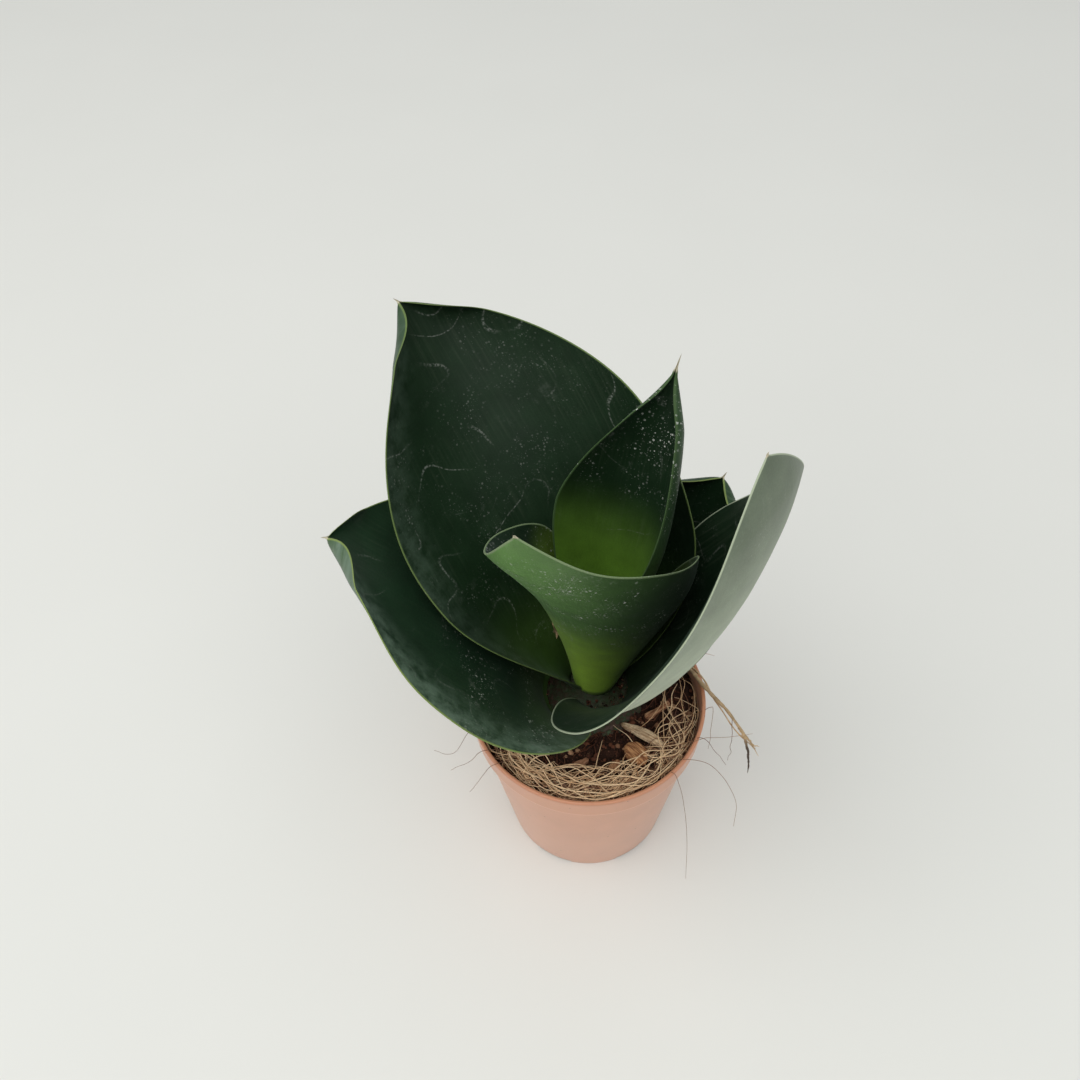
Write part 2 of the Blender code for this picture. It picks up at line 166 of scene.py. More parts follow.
def capped_tubes(paths: Array, radii: Array, sides: int, flat: float = 1.0) -> tuple[Array, list]:
    """Many thin closed tubes at once.

    Each point of a path carries a ring: the radius times cosine and sine of the side's angle,
    along two directions square to the path. Each end is closed with one face.

    Args:
        paths: array of tubes by points by 3.
        radii: array of tubes by points.
        sides: how many sides a tube has.
        flat: thickness as a share of width, for a strip.

    Returns:
        The points, and a list of face arrays.
    """
    count, steps, _ = paths.shape
    ahead = np.gradient(paths, axis=1)
    ahead /= np.linalg.norm(ahead, axis=-1, keepdims=True) + 1e-9
    side = np.cross(ahead, np.array([0.13, 0.21, 0.97]))
    side /= np.linalg.norm(side, axis=-1, keepdims=True) + 1e-9
    other = np.cross(ahead, side)
    angle = np.arange(sides) * math.tau / sides
    ring = (side[:, :, None] * np.cos(angle)[:, None]
            + flat * other[:, :, None] * np.sin(angle)[:, None])
    points = paths[:, :, None] + ring * radii[:, :, None, None]
    one = grid_faces(steps, sides, True)
    starts = np.arange(count)[:, None, None] * steps * sides
    walls = (one[None] + starts).reshape(-1, 4)
    near = (np.arange(sides)[::-1] + starts[:, 0]).reshape(-1, sides)
    far = (np.arange(sides) + (steps - 1) * sides + starts[:, 0]).reshape(-1, sides)
    return points.reshape(-1, 3), [walls, near, far]


def lathe(profile: Array, segments: int) -> tuple[Array, list]:
    """A profile of (radius, height) turned about +Z; its first and last points are on the axis.

    Args:
        profile: the points from the underside's centre, round the outside, to the top's centre.
        segments: how many steps the turn has.

    Returns:
        The points, with one at each pole, and a list of face arrays.
    """
    angle = np.arange(segments) * math.tau / segments
    rim = profile[1:-1]
    rings = np.stack([rim[:, :1] * np.cos(angle), rim[:, :1] * np.sin(angle),
                      np.repeat(rim[:, 1:], segments, axis=1)], -1)
    points = np.vstack([rings.reshape(-1, 3), [0, 0, profile[0, 1]], [0, 0, profile[-1, 1]]])
    foot, top = len(points) - 2, len(points) - 1
    first = np.arange(segments)
    last = first + (len(rim) - 1) * segments
    low = np.stack([np.roll(first, -1), first, np.full(segments, foot)], -1)
    high = np.stack([last, np.roll(last, -1), np.full(segments, top)], -1)
    return points, [grid_faces(len(rim), segments, True), low, high]


def make_piece(name: str, points: Array, faces: list, slot: str, *replaced: str,
               attributes: dict[str, Array] | None = None) -> Piece:
    """Put arrays into a mesh in metres, and let the piece ride on the model.

    Args:
        name: the piece's name.
        points: its points, in millimetres.
        faces: arrays of face corners, one for each number of corners.
        slot: the record's material slot for the piece; not used.
        replaced: the CAD nodes that it stands for.
        attributes: values kept on the points, one column or three.

    Returns:
        The new object, at the origin.
    """
    mesh = bpy.data.meshes.new(name)
    corners = [face for group in faces for face in group.tolist()]
    mesh.from_pydata((points * MM).tolist(), [], corners)
    for label, values in (attributes or {}).items():
        kind = "FLOAT_VECTOR" if values.ndim == 2 else "FLOAT"
        layer = mesh.attributes.new(label, kind, "POINT")
        layer.data.foreach_set("vector" if values.ndim == 2 else "value",
                               values.astype(np.float32).ravel())
    mesh.update()
    checked = bmesh.new()
    checked.from_mesh(mesh)
    if checked.calc_volume(signed=True) < 0:
        bmesh.ops.reverse_faces(checked, faces=checked.faces)
    checked.to_mesh(mesh)
    checked.free()
    mesh.shade_smooth()
    piece = bpy.data.objects.new(name, mesh)
    bpy.context.scene.collection.objects.link(piece)
    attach(piece, BODY)
    if replaced:
        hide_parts(*replaced)
    LOG.info("%s: %d faces", name, len(mesh.polygons))
    return piece


def soil_height(x: Array, y: Array) -> Array:
    """Height of the soil's surface: level, with low rises and hollows a centimetre or two apart."""
    broad = 0.35 * np.sin(0.31 * x + 0.8) * np.cos(0.27 * y - 0.4)
    fine = 0.15 * np.sin(0.83 * x - 0.61 * y)
    return SOIL_LEVEL + broad + fine


# ---------------------------------------------------------------- shader graphs


class Graph:
    """A node tree while it is wired. An input is a plain value or another node's output."""

    def __init__(self, tree: bpy.types.NodeTree) -> None:
        """Start on a tree that is already empty or holds only its end nodes."""
        self.tree = tree

    def add(self, kind: str, settings: dict | None = None, **inputs: object) -> bpy.types.Node:
        """Add one node.

        Args:
            kind: the node's Blender type.
            settings: the node's own properties.
            inputs: its sockets by name, with underscores for spaces, or by number as n0, n1.

        Returns:
            The node.
        """
        node = self.tree.nodes.new(kind)
        for label, value in (settings or {}).items():
            setattr(node, label, value)
        for label, value in inputs.items():
            key = int(label[1:]) if label[0] == "n" and label[1:].isdigit() else label.replace("_", " ")
            self.put(node.inputs[key], value)
        return node

    def put(self, socket: Socket, value: object) -> None:
        """Link an output to the socket, or set the socket's value."""
        if isinstance(value, Socket):
            self.tree.links.new(value, socket)
        elif isinstance(value, tuple) and len(value) == 3 and socket.type == "RGBA":
            socket.default_value = (*value, 1.0)
        else:
            socket.default_value = value

    def math(self, operation: str, *values: object) -> Socket:
        """One step of arithmetic on values and outputs."""
        inputs = {f"n{index}": value for index, value in enumerate(values)}
        return self.add("ShaderNodeMath", {"operation": operation}, **inputs).outputs[0]

    def times(self, first: object, second: object) -> Socket:
        """The product of two values."""
        return self.math("MULTIPLY", first, second)

    def plus(self, first: object, second: object) -> Socket:
        """The sum of two values."""
        return self.math("ADD", first, second)

    def minus(self, first: object, second: object) -> Socket:
        """The first value less the second."""
        return self.math("SUBTRACT", first, second)

    def most(self, first: object, second: object) -> Socket:
        """The larger of two values."""
        return self.math("MAXIMUM", first, second)

    def fade(self, value: object, low: float, high: float) -> Socket:
        """0 at low and 1 at high, eased and held outside them; low may be above high."""
        node = self.add("ShaderNodeMapRange", {"interpolation_type": "SMOOTHSTEP", "clamp": True},
                        Value=value)
        node.inputs["From Min"].default_value = min(low, high)
        node.inputs["From Max"].default_value = max(low, high)
        node.inputs["To Min"].default_value = 0.0 if low < high else 1.0
        node.inputs["To Max"].default_value = 1.0 if low < high else 0.0
        return node.outputs[0]

    def mix(self, share: object, first: object, second: object) -> Socket:
        """The first colour turned into the second by a share."""
        node = self.add("ShaderNodeMix", {"data_type": "RGBA"})
        self.put(node.inputs[0], share)
        self.put(node.inputs[6], first)
        self.put(node.inputs[7], second)
        return node.outputs[2]

    def value(self, label: str) -> Socket:
        """The number kept on the mesh's points under a name."""
        return self.add("ShaderNodeAttribute", {"attribute_name": label}).outputs["Fac"]

    def vector(self, label: str) -> Socket:
        """The three numbers kept on the mesh's points under a name."""
        return self.add("ShaderNodeAttribute", {"attribute_name": label}).outputs["Vector"]

    def place(self) -> Socket:
        """The place on the piece, in millimetres."""
        scale = 1.0 / MM
        at = self.add("ShaderNodeTexCoord").outputs["Object"]
        return self.add("ShaderNodeVectorMath", {"operation": "SCALE"}, n0=at, Scale=scale).outputs[0]

    def stretched(self, vector: object, x: float, y: float, z: float) -> Socket:
        """A vector with each coordinate multiplied."""
        return self.add("ShaderNodeVectorMath", {"operation": "MULTIPLY"}, n0=vector,
                        n1=(x, y, z)).outputs[0]

    def noise(self, vector: object, per_mm: float, detail: float = 3.0,
              roughness: float = 0.55) -> Socket:
        """Blender's noise at so many cells to the millimetre; the mean is 0.5."""
        return self.add("ShaderNodeTexNoise", None, Vector=vector, Scale=per_mm, Detail=detail,
                        Roughness=roughness).outputs["Fac"]

    def group(self, tree: bpy.types.NodeTree, **inputs: object) -> bpy.types.Node:
        """Place one of the shared effects."""
        return self.add("ShaderNodeGroup", {"node_tree": tree}, **inputs)


def new_group(name: str, inputs: dict[str, tuple[str, object]],
              outputs: dict[str, str]) -> tuple[Graph, bpy.types.Node, bpy.types.Node]:
    """An empty shared effect.

    Args:
        name: the effect's name.
        inputs: each input's name, with its socket type and its value at rest.
        outputs: each output's name, with its socket type.

    Returns:
        Its graph, its input node and its output node.
    """
    tree = bpy.data.node_groups.new(name, "ShaderNodeTree")
    for label, (kind, value) in inputs.items():
        socket = tree.interface.new_socket(label, in_out="INPUT", socket_type=kind)
        if value is not None:
            socket.default_value = value
    for label, kind in outputs.items():
        tree.interface.new_socket(label, in_out="OUTPUT", socket_type=kind)
    return Graph(tree), tree.nodes.new("NodeGroupInput"), tree.nodes.new("NodeGroupOutput")


NUMBER, VECTOR, COLOUR = "NodeSocketFloat", "NodeSocketVector", "NodeSocketColor"


class Effects:
    """The effects that several finishes share, each built once as a node group."""

    def __init__(self) -> None:
        """Build every effect."""
        self.mottle = self._mottle()
        self.specks = self._specks()
        self.marks = self._marks()
        self.grain = self._grain()

    def _mottle(self) -> bpy.types.NodeTree:
        """A colour lightened and darkened in soft patches, by an amount either way."""
        graph, given, result = new_group(
            "Mottle", {"Vector": (VECTOR, None), "Colour": (COLOUR, None), "Scale": (NUMBER, 0.2),
                       "Amount": (NUMBER, 0.2)}, {"Colour": COLOUR, "Field": NUMBER})
        field = graph.noise(given.outputs["Vector"], 1.0, 4.0)
        field.node.inputs["Scale"].default_value = 1.0
        graph.put(field.node.inputs["Scale"], given.outputs["Scale"])
        swing = graph.times(graph.minus(field, 0.5), given.outputs["Amount"])
        gain = graph.plus(1.0, graph.times(swing, 2.0))
        node = graph.add("ShaderNodeVectorMath", {"operation": "SCALE"}, n0=given.outputs["Colour"],
                         Scale=gain)
        graph.put(result.inputs["Colour"], node.outputs[0])
        graph.put(result.inputs["Field"], field)
        return graph.tree

    def _specks(self) -> bpy.types.NodeTree:
        """Small round specks, each in a cell of its own; cover is the share of cells with one."""
        graph, given, result = new_group(
            "Specks", {"Vector": (VECTOR, None), "Scale": (NUMBER, 1.0), "Cover": (NUMBER, 0.2),
                       "Size": (NUMBER, 0.25)}, {"Mask": NUMBER})
        cells = graph.add("ShaderNodeTexVoronoi", None, Vector=given.outputs["Vector"],
                          Scale=given.outputs["Scale"], Randomness=1.0)
        pick = graph.add("ShaderNodeSeparateColor", None, Color=cells.outputs["Color"])
        chosen = graph.math("LESS_THAN", pick.outputs[0], given.outputs["Cover"])
        size = graph.times(given.outputs["Size"], graph.plus(0.4, graph.times(pick.outputs[1], 0.9)))
        inside = graph.minus(size, cells.outputs["Distance"])
        soft = graph.fade(inside, 0.0, 0.06)
        graph.put(result.inputs["Mask"], graph.times(soft, chosen))
        return graph.tree

    def _marks(self) -> bpy.types.NodeTree:
        """Thin curved drying marks: a soft noise's contour lines, close together, with breaks."""
        graph, given, result = new_group(
            "Marks", {"Vector": (VECTOR, None), "Scale": (NUMBER, 0.05), "Width": (NUMBER, 0.01)},
            {"Mask": NUMBER})
        field = graph.add("ShaderNodeTexNoise", None, Vector=given.outputs["Vector"],
                          Scale=given.outputs["Scale"], Detail=1.6, Roughness=0.4).outputs["Fac"]
        near = graph.math("PINGPONG", field, 0.045)
        line = graph.minus(1.0, graph.math("DIVIDE", near, given.outputs["Width"]))
        line = graph.fade(line, 0.0, 0.9)
        breaks = graph.fade(graph.noise(given.outputs["Vector"], 0.05, 2.0), 0.50, 0.64)
        grit = graph.fade(graph.noise(given.outputs["Vector"], 1.7, 3.0), 0.38, 0.66)
        graph.put(result.inputs["Mask"], graph.times(graph.times(line, breaks), grit))
        return graph.tree

    def _grain(self) -> bpy.types.NodeTree:
        """Long fine streaks that run with the second coordinate, between 0 and 1."""
        graph, given, result = new_group(
            "Grain", {"Vector": (VECTOR, None), "Across": (NUMBER, 1.0), "Along": (NUMBER, 0.05)},
            {"Field": NUMBER})
        parts = graph.add("ShaderNodeSeparateXYZ", None, Vector=given.outputs["Vector"])
        joined = graph.add(
            "ShaderNodeCombineXYZ", None,
            X=graph.times(parts.outputs[0], given.outputs["Across"]),
            Y=graph.times(parts.outputs[1], given.outputs["Along"]),
            Z=parts.outputs[2])
        graph.put(result.inputs["Field"], graph.noise(joined.outputs[0], 1.0, 3.0, 0.6))
        return graph.tree


@dataclass(frozen=True)
class Gloss:
    """The even, unpatterned side of a finish: what a shader's own sockets are set to."""

    coat: float = 0.0
    coat_roughness: float = 0.3
    sheen: float = 0.0
    sheen_roughness: float = 0.5
    specular: float = 0.5
    subsurface: float = 0.0


class Surface(Graph):
    """The graph of one material, with its shader's even values already set."""

    def __init__(self, name: str, gloss: Gloss) -> None:
        """Make the material and set what is the same all over it."""
        self.material = bpy.data.materials.new(name)
        self.material.use_nodes = True
        super().__init__(self.material.node_tree)
        self.shader = self.tree.nodes["Principled BSDF"]
        even = {
            "Coat Weight": gloss.coat, "Coat Roughness": gloss.coat_roughness,
            "Sheen Weight": gloss.sheen, "Sheen Roughness": gloss.sheen_roughness,
            "Specular IOR Level": gloss.specular, "Subsurface Weight": gloss.subsurface,
            "Subsurface Radius": (0.6, 1.0, 0.3), "Subsurface Scale": MM,
        }
        for label, value in even.items():
            self.shader.inputs[label].default_value = value

    def mottle(self, effects: Effects, vector: object, colour: object, scale: float,
               amount: float) -> tuple[Socket, Socket]:
        """A colour in soft patches, and the field that patches it."""
        node = self.group(effects.mottle, Vector=vector, Colour=colour, Scale=scale, Amount=amount)
        return node.outputs["Colour"], node.outputs["Field"]

    def wear(self, colour: object, roughness: object, height: object, relief: float,
             *pieces: Piece) -> None:
        """Wire the patterns into the shader and dress pieces in the material.

        Args:
            colour: the colour's output.
            roughness: the roughness's output or number.
            height: the relief's output, between 0 and 1.
            relief: how far 1 stands above 0, in millimetres.
            pieces: the objects that wear it.
        """
        self.put(self.shader.inputs["Base Color"], colour)
        self.put(self.shader.inputs["Roughness"], roughness)
        bump = self.add("ShaderNodeBump", None, Height=height, Strength=1.0, Distance=relief * MM)
        self.put(self.shader.inputs["Normal"], bump.outputs[0])
        for piece in pieces:
            piece.data.materials.clear()
            piece.data.materials.append(self.material)


# ---------------------------------------------------------------- leaves


@dataclass(frozen=True)
class BladeShape:
    """A leaf's measures, as in the model. Left and right are as seen on its upper face, tip up.

    lean is the midrib's angle from upright at the base, the middle and the tip. curl is how far a
    half blade has turned by its margin, in radians: the middle's left and right, then the tip's.
    flare turns a margin back outwards, and sweep draws a margin down the leaf. pinch folds both
    margins in over the last part of the blade, and hook bends that part across and inwards.
    """

    node: str
    azimuth: float
    drift: float
    lean: Point
    length: float
    half_width: tuple[float, float]
    widest_at: float
    base_share: float
    tip_shape: tuple[float, float]
    curl: Point
    flare: tuple[float, float]
    twist: Point
    sweep: tuple[float, float]
    ring_radius: float
    base_z: float
    pinch: tuple[float, float] = (0.0, 0.0)
    pinch_from: float = 0.9
    hook: tuple[float, float] = (0.0, 0.0)
    awn: float = 1.4


@dataclass(frozen=True)
class BladeFinish:
    """A leaf's colours and surface.

    glow is painted light shining through the thin base, over tissue that is paler there too: a
    bright colour, whole up to glow_from and gone by glow_to. tip_shade is how much the leaf darkens
    to its tip, and painted_left_shade is painted shade that darkens it to its left. painted_sheen is
    a painted sheen: a pale band along the left margin. dust and marks are strengths from 0 to 1, and
    dust_band is where the dust lies. Places along the leaf are shares of its length.
    """

    upper: Colour
    lower: Colour
    glow: Colour = (0.16, 0.30, 0.05)
    glow_from: float = 0.05
    glow_to: float = 0.3
    glow_amount: float = 0.3
    margin: Colour = (0.20, 0.27, 0.08)
    margin_width: float = 0.4
    tip_shade: float = 0.0
    painted_left_shade: float = 0.0
    painted_sheen: float = 0.0
    bloom: float = 0.03
    dust: float = 0.25
    dust_band: tuple[float, float] = (0.1, 0.9)
    marks: float = 0.4
    streaks: float = 0.12
    roughness: float = 0.4


class Leaf:
    """One leaf: a fleshy blade with a thin rim, a clasping foot and an awn at its tip."""

    ROWS = 150
    HALF_COLUMNS = 44
    BLADE = 2.0
    SHEATH = 1.0
    MARGIN = 0.3
    SHEATH_SHARE = 0.25
    TIP_HALF_WIDTH = 0.5
    DENT_FREE_EDGE = 6.0
    FOOT_DROP = 2.6
    FOOT_PULL = 0.16
    AWN_RADIUS = 0.28
    RIM_STEPS = 3
    FOOT_STEPS = 4
    AWN_STEPS = 10

    def __init__(self, shape: BladeShape, finish: BladeFinish, seed: int) -> None:
        """Keep the leaf's measures, its finish and the seed of its small unevenness."""
        self.shape, self.finish, self.seed = shape, finish, seed

    def frames(self, u: Array) -> tuple[Array, ...]:
        """The midrib and the three directions of a section at each share of the length.

        The direction along the leaf leans and turns as the shape says. Across is square to it and
        level before the twist, and inward is the upper face's normal. The midrib is the running
        sum of the direction along.

        Args:
            u: shares of the length, evenly spaced from 0 to 1.

        Returns:
            The midrib, the direction along, the direction across and the direction inward.
        """
        shape, rows = self.shape, len(u)
        lean = np.radians(three_point(u, *shape.lean))[:, None]
        heading = np.radians(shape.azimuth + shape.drift * u)
        outward = np.stack([np.cos(heading), np.sin(heading), np.zeros(rows)], -1)
        up = np.array([0.0, 0.0, 1.0])
        along = np.sin(lean) * outward + np.cos(lean) * up
        inward = np.sin(lean) * up - np.cos(lean) * outward
        across = np.cross(along, inward)
        twist = np.radians(three_point(u, *shape.twist))[:, None]
        across, inward = (across * np.cos(twist) + inward * np.sin(twist),
                          inward * np.cos(twist) - across * np.sin(twist))
        midrib = np.zeros((rows, 3))
        midrib[1:] = np.cumsum((along[1:] + along[:-1]) / 2 * shape.length / (rows - 1), axis=0)
        start = math.radians(shape.azimuth)
        midrib += (PLANT_X + shape.ring_radius * math.cos(start),
                   PLANT_Y + shape.ring_radius * math.sin(start), shape.base_z)
        bend = np.clip((u - shape.pinch_from) / (1 - shape.pinch_from), 0, 1)[:, None] ** 2
        midrib += bend * (shape.hook[0] * across + shape.hook[1] * inward)
        return midrib, along, across, inward

    def share(self, u: Array) -> Array:
        """Width along the leaf as a share of the widest.

        It rises on a quarter sine from the base's share, then falls as one less a power, to a
        power.
        """
        shape = self.shape
        rise = shape.base_share + (1 - shape.base_share) * np.sin(
            np.pi / 2 * np.clip(u / shape.widest_at, 0, 1))
        beyond = np.clip((u - shape.widest_at) / (1 - shape.widest_at), 0, 1)
        fall = np.clip(1 - beyond ** shape.tip_shape[0], 0, 1) ** shape.tip_shape[1]
        return np.where(u < shape.widest_at, rise, fall)

    def half_section(self, u: Array, side: int) -> tuple[Array, ...]:
        """One side of every section, from the midrib out to the margin.

        The turning angle grows from the midrib: curl times v, plus flare times v to the fourth,
        plus the tip's pinch times v squared. Offset and height are the running sums of its cosine
        and sine.

        Args:
            u: shares of the length.
            side: 0 for the left, 1 for the right.

        Returns:
            Offset, height and turning angle as rows by columns, and the drop down the leaf.
        """
        shape, half = self.shape, self.HALF_COLUMNS
        v = np.linspace(0.0, 1.0, half + 1)
        share = self.share(u)
        width = np.maximum(shape.half_width[side] * share, self.TIP_HALF_WIDTH)[:, None]
        base_curl = shape.base_share * sum(shape.half_width) / 2 / shape.ring_radius
        curl = three_point(u, base_curl, shape.curl[side], shape.curl[2])[:, None]
        flare = three_point(u, 0.0, shape.flare[side], 0.3 * shape.flare[side])[:, None]
        fold = eased((u - shape.pinch_from) / (1 - shape.pinch_from))[:, None] * shape.pinch[side]
        turn = curl * v + flare * v ** 4 + fold * v ** 2
        offset = np.zeros((len(u), half + 1))
        height = np.zeros((len(u), half + 1))
        offset[:, 1:] = np.cumsum((np.cos(turn[:, 1:]) + np.cos(turn[:, :-1])) / 2, axis=1) / half
        height[:, 1:] = np.cumsum((np.sin(turn[:, 1:]) + np.sin(turn[:, :-1])) / 2, axis=1) / half
        wave = 0.25 * np.sin(math.tau * (3.3 * u[:, None] + 0.21 * self.seed)) * v ** 6
        drop = three_point(u, 0.0, shape.sweep[side], 0.0)[:, None] * v ** 2
        calm = np.clip(share * 3, 0, 1)[:, None]
        return offset * width, height * width + wave * calm, turn, drop

    def faces_of_blade(self) -> tuple[Array, Array, Array, Array]:
        """The upper and lower faces as grids, the tangent at each point, and the surface measures.

        Returns:
            Upper points, lower points, tangents across the section, and for each point its place
            across and along the leaf and its distance from the margin, in millimetres.
        """
        rows, half = self.ROWS, self.HALF_COLUMNS
        u = np.linspace(0.0, 1.0, rows)
        v = np.linspace(0.0, 1.0, half + 1)
        midrib, along, across, inward = self.frames(u)
        share = self.share(u)
        body = self.SHEATH + (self.BLADE - self.SHEATH) * np.clip(u / self.SHEATH_SHARE, 0, 1)
        thick = (body * np.clip(2.5 * share, 0, 1))[:, None] * (1 - v ** 3) + self.MARGIN
        upper, lower, tangent, measure = (np.zeros((rows, 2 * half + 1, 3)) for _ in range(4))
        for side, sign in ((0, -1.0), (1, 1.0)):
            offset, height, turn, drop = self.half_section(u, side)
            order = slice(half, None) if side else slice(half, None, -1)
            for grid, depth in ((upper, 0.0), (lower, thick)):
                x = offset + depth * np.sin(turn)
                y = height - depth * np.cos(turn)
                grid[:, order] = (midrib[:, None] + sign * x[..., None] * across[:, None]
                                  + y[..., None] * inward[:, None] - drop[..., None] * along[:, None])
            tangent[:, order] = (sign * np.cos(turn)[..., None] * across[:, None]
                                 + np.sin(turn)[..., None] * inward[:, None])
            width = np.maximum(self.shape.half_width[side] * share, self.TIP_HALF_WIDTH)[:, None]
            measure[:, order] = np.stack([sign * v * width, np.broadcast_to(
                u[:, None] * self.shape.length, (rows, half + 1)), (1 - v) * width], -1)
        dent = 0.22 * lattice_noise(upper, 17.0, self.seed)
        dent += 0.05 * lattice_noise(upper, 4.0, self.seed)
        normal = upper - lower
        normal /= np.linalg.norm(normal, axis=-1, keepdims=True)
        shift = normal * (dent * eased(measure[..., 2] / self.DENT_FREE_EDGE))[..., None]
        return upper + shift, lower + shift, tangent, measure

    def sections(self) -> tuple[Array, dict[str, Array]]:
        """Every section as one closed loop: upper face, right rim, lower face, left rim.

        A rim is half a circle between the two faces' edges, bulging along the section's tangent.
        The foot's loops step down and in to the stem, and the awn's shrink to a point.
        """
        upper, lower, tangent, measure = self.faces_of_blade()
        angle = np.linspace(0, math.pi, self.RIM_STEPS + 2)[1:-1]

        def rim(column: int, start: Array, end: Array) -> Array:
            middle, reach = (start + end) / 2, (start - end) / 2
            radius = np.linalg.norm(reach, axis=-1)[:, None, None]
            return (middle[:, None] + np.cos(angle)[:, None] * reach[:, None]
                    + np.sin(angle)[:, None] * radius * tangent[:, column][:, None])

        right, left = rim(-1, upper[:, -1], lower[:, -1]), rim(0, lower[:, 0], upper[:, 0])
        loops = np.concatenate([upper, right, lower[:, ::-1], left], axis=1)
        steps = self.RIM_STEPS
        edge = [np.repeat(measure[:, column:column + 1 or None], steps, axis=1) for column in (-1, 0)]
        places = np.concatenate([measure, edge[0], measure[:, ::-1], edge[1]], axis=1)
        rows, columns = upper.shape[:2]
        sides = np.concatenate([np.full(columns, Face.UPPER.value), np.full(steps, Face.RIM.value),
                                np.full(columns, Face.LOWER.value), np.full(steps, Face.RIM.value)])
        sides = np.repeat(sides[None], rows, axis=0)

        foot_share = np.linspace(1, 0, self.FOOT_STEPS + 1)[:-1, None, None]
        axis = np.array([PLANT_X, PLANT_Y, 0.0])
        to_axis = (axis - loops[0]) * (1.0, 1.0, 0.0)
        foot = loops[0] + foot_share * (self.FOOT_PULL * to_axis - (0.0, 0.0, self.FOOT_DROP))

        centre = loops[-1].mean(axis=0)
        ahead = loops[-1].mean(axis=0) - loops[-8].mean(axis=0)
        ahead /= np.linalg.norm(ahead)
        t = np.linspace(0, 1, self.AWN_STEPS + 1)[1:, None, None]
        relative = loops[-1] - centre
        across = tangent[-1, self.HALF_COLUMNS]
        over = np.cross(ahead, across)
        turn = np.arctan2(relative @ over, relative @ across)
        round_ring = self.AWN_RADIUS * (np.cos(turn)[:, None] * across + np.sin(turn)[:, None] * over)
        blend = eased(3 * t)
        ring = relative * (1 - blend) + round_ring * blend
        lift = 0.35 * self.shape.awn * t ** 2
        awn = centre + ahead * self.shape.awn * t + ring * (1 - 0.92 * t ** 1.4) + over * lift

        def extend(grid: Array) -> Array:
            head = np.repeat(grid[:1], self.FOOT_STEPS, axis=0)
            return np.concatenate([head, grid, np.repeat(grid[-1:], self.AWN_STEPS, axis=0)])

        along = np.concatenate([np.zeros(self.FOOT_STEPS), np.linspace(0, 1, rows),
                                1 + 0.05 * np.linspace(0, 1, self.AWN_STEPS + 1)[1:]])
        shown = extend(places)
        attributes = {
            "surface": np.stack([shown[..., 0], shown[..., 1], extend(sides) * 40.0], -1).reshape(-1, 3),
            "margin": shown[..., 2].ravel(), "side": extend(sides).ravel(),
            "share": np.repeat(along, loops.shape[1]),
        }
        return np.concatenate([foot, loops, awn]), attributes

    def build(self) -> Piece:
        """Make the blade as one closed skin, capped at its foot and at its awn."""
        loops, attributes = self.sections()
        rows, columns = loops.shape[:2]
        faces = grid_faces(rows, columns, True)
        last = (rows - 1) * columns
        caps = [np.arange(columns)[None, ::-1], np.arange(columns)[None] + last]
        name = self.shape.node + "_blade"
        return make_piece(name, loops.reshape(-1, 3), [faces, *caps], self.shape.node,
                          self.shape.node, attributes=attributes)

    def dress(self, piece: Piece, effects: Effects) -> None:
        """Waxy skin: two-tone faces, a painted glow at the base, painted shade and sheen, a pale margin,
        streaks, marks and dust.
        """
        finish = self.finish
        skin = Surface(self.shape.node, Gloss(coat=0.03, coat_roughness=0.3, sheen=finish.bloom,
                                              sheen_roughness=0.35, specular=0.22))
        skin.shader.inputs["Sheen Tint"].default_value = (0.75, 0.85, 0.9, 1.0)
        surface, side, share = skin.vector("surface"), skin.value("side"), skin.value("share")
        colour = skin.mix(side, finish.lower, finish.upper)
        # painted light: the base brightened as if lit through its thin flesh, over base tissue that is
        # paler as well
        glow = skin.times(skin.fade(share, finish.glow_to, finish.glow_from), finish.glow_amount)
        colour = skin.mix(glow, colour, finish.glow)
        colour, patch = skin.mottle(effects, surface, colour, 0.16, 0.35)
        colour, fine = skin.mottle(effects, surface, colour, 2.4, 0.2)
        grain = skin.group(effects.grain, Vector=surface, Across=1.3, Along=0.05).outputs[0]
        drift = skin.fade(skin.noise(surface, 0.05, 2.0), 0.35, 0.7)
        faces = skin.minus(1.0, skin.times(side, 0.75))
        pale = skin.times(skin.fade(grain, 0.42, 0.85), skin.times(drift, faces))
        pale = skin.times(pale, finish.streaks)
        colour = skin.mix(pale, colour, (0.62, 0.70, 0.50))
        cool = skin.times(skin.fade(share, 0.45, 1.0), finish.tip_shade)
        colour = skin.mix(cool, colour, (0.020, 0.040, 0.022))
        across = skin.add("ShaderNodeSeparateXYZ", None, Vector=surface).outputs[0]
        # painted shade: the leaf darkened towards its left side, the side that lies in shade
        far = skin.times(skin.fade(across, 4.0, -18.0), finish.painted_left_shade)
        colour = skin.mix(far, colour, (0.012, 0.030, 0.010))
        margin = skin.value("margin")
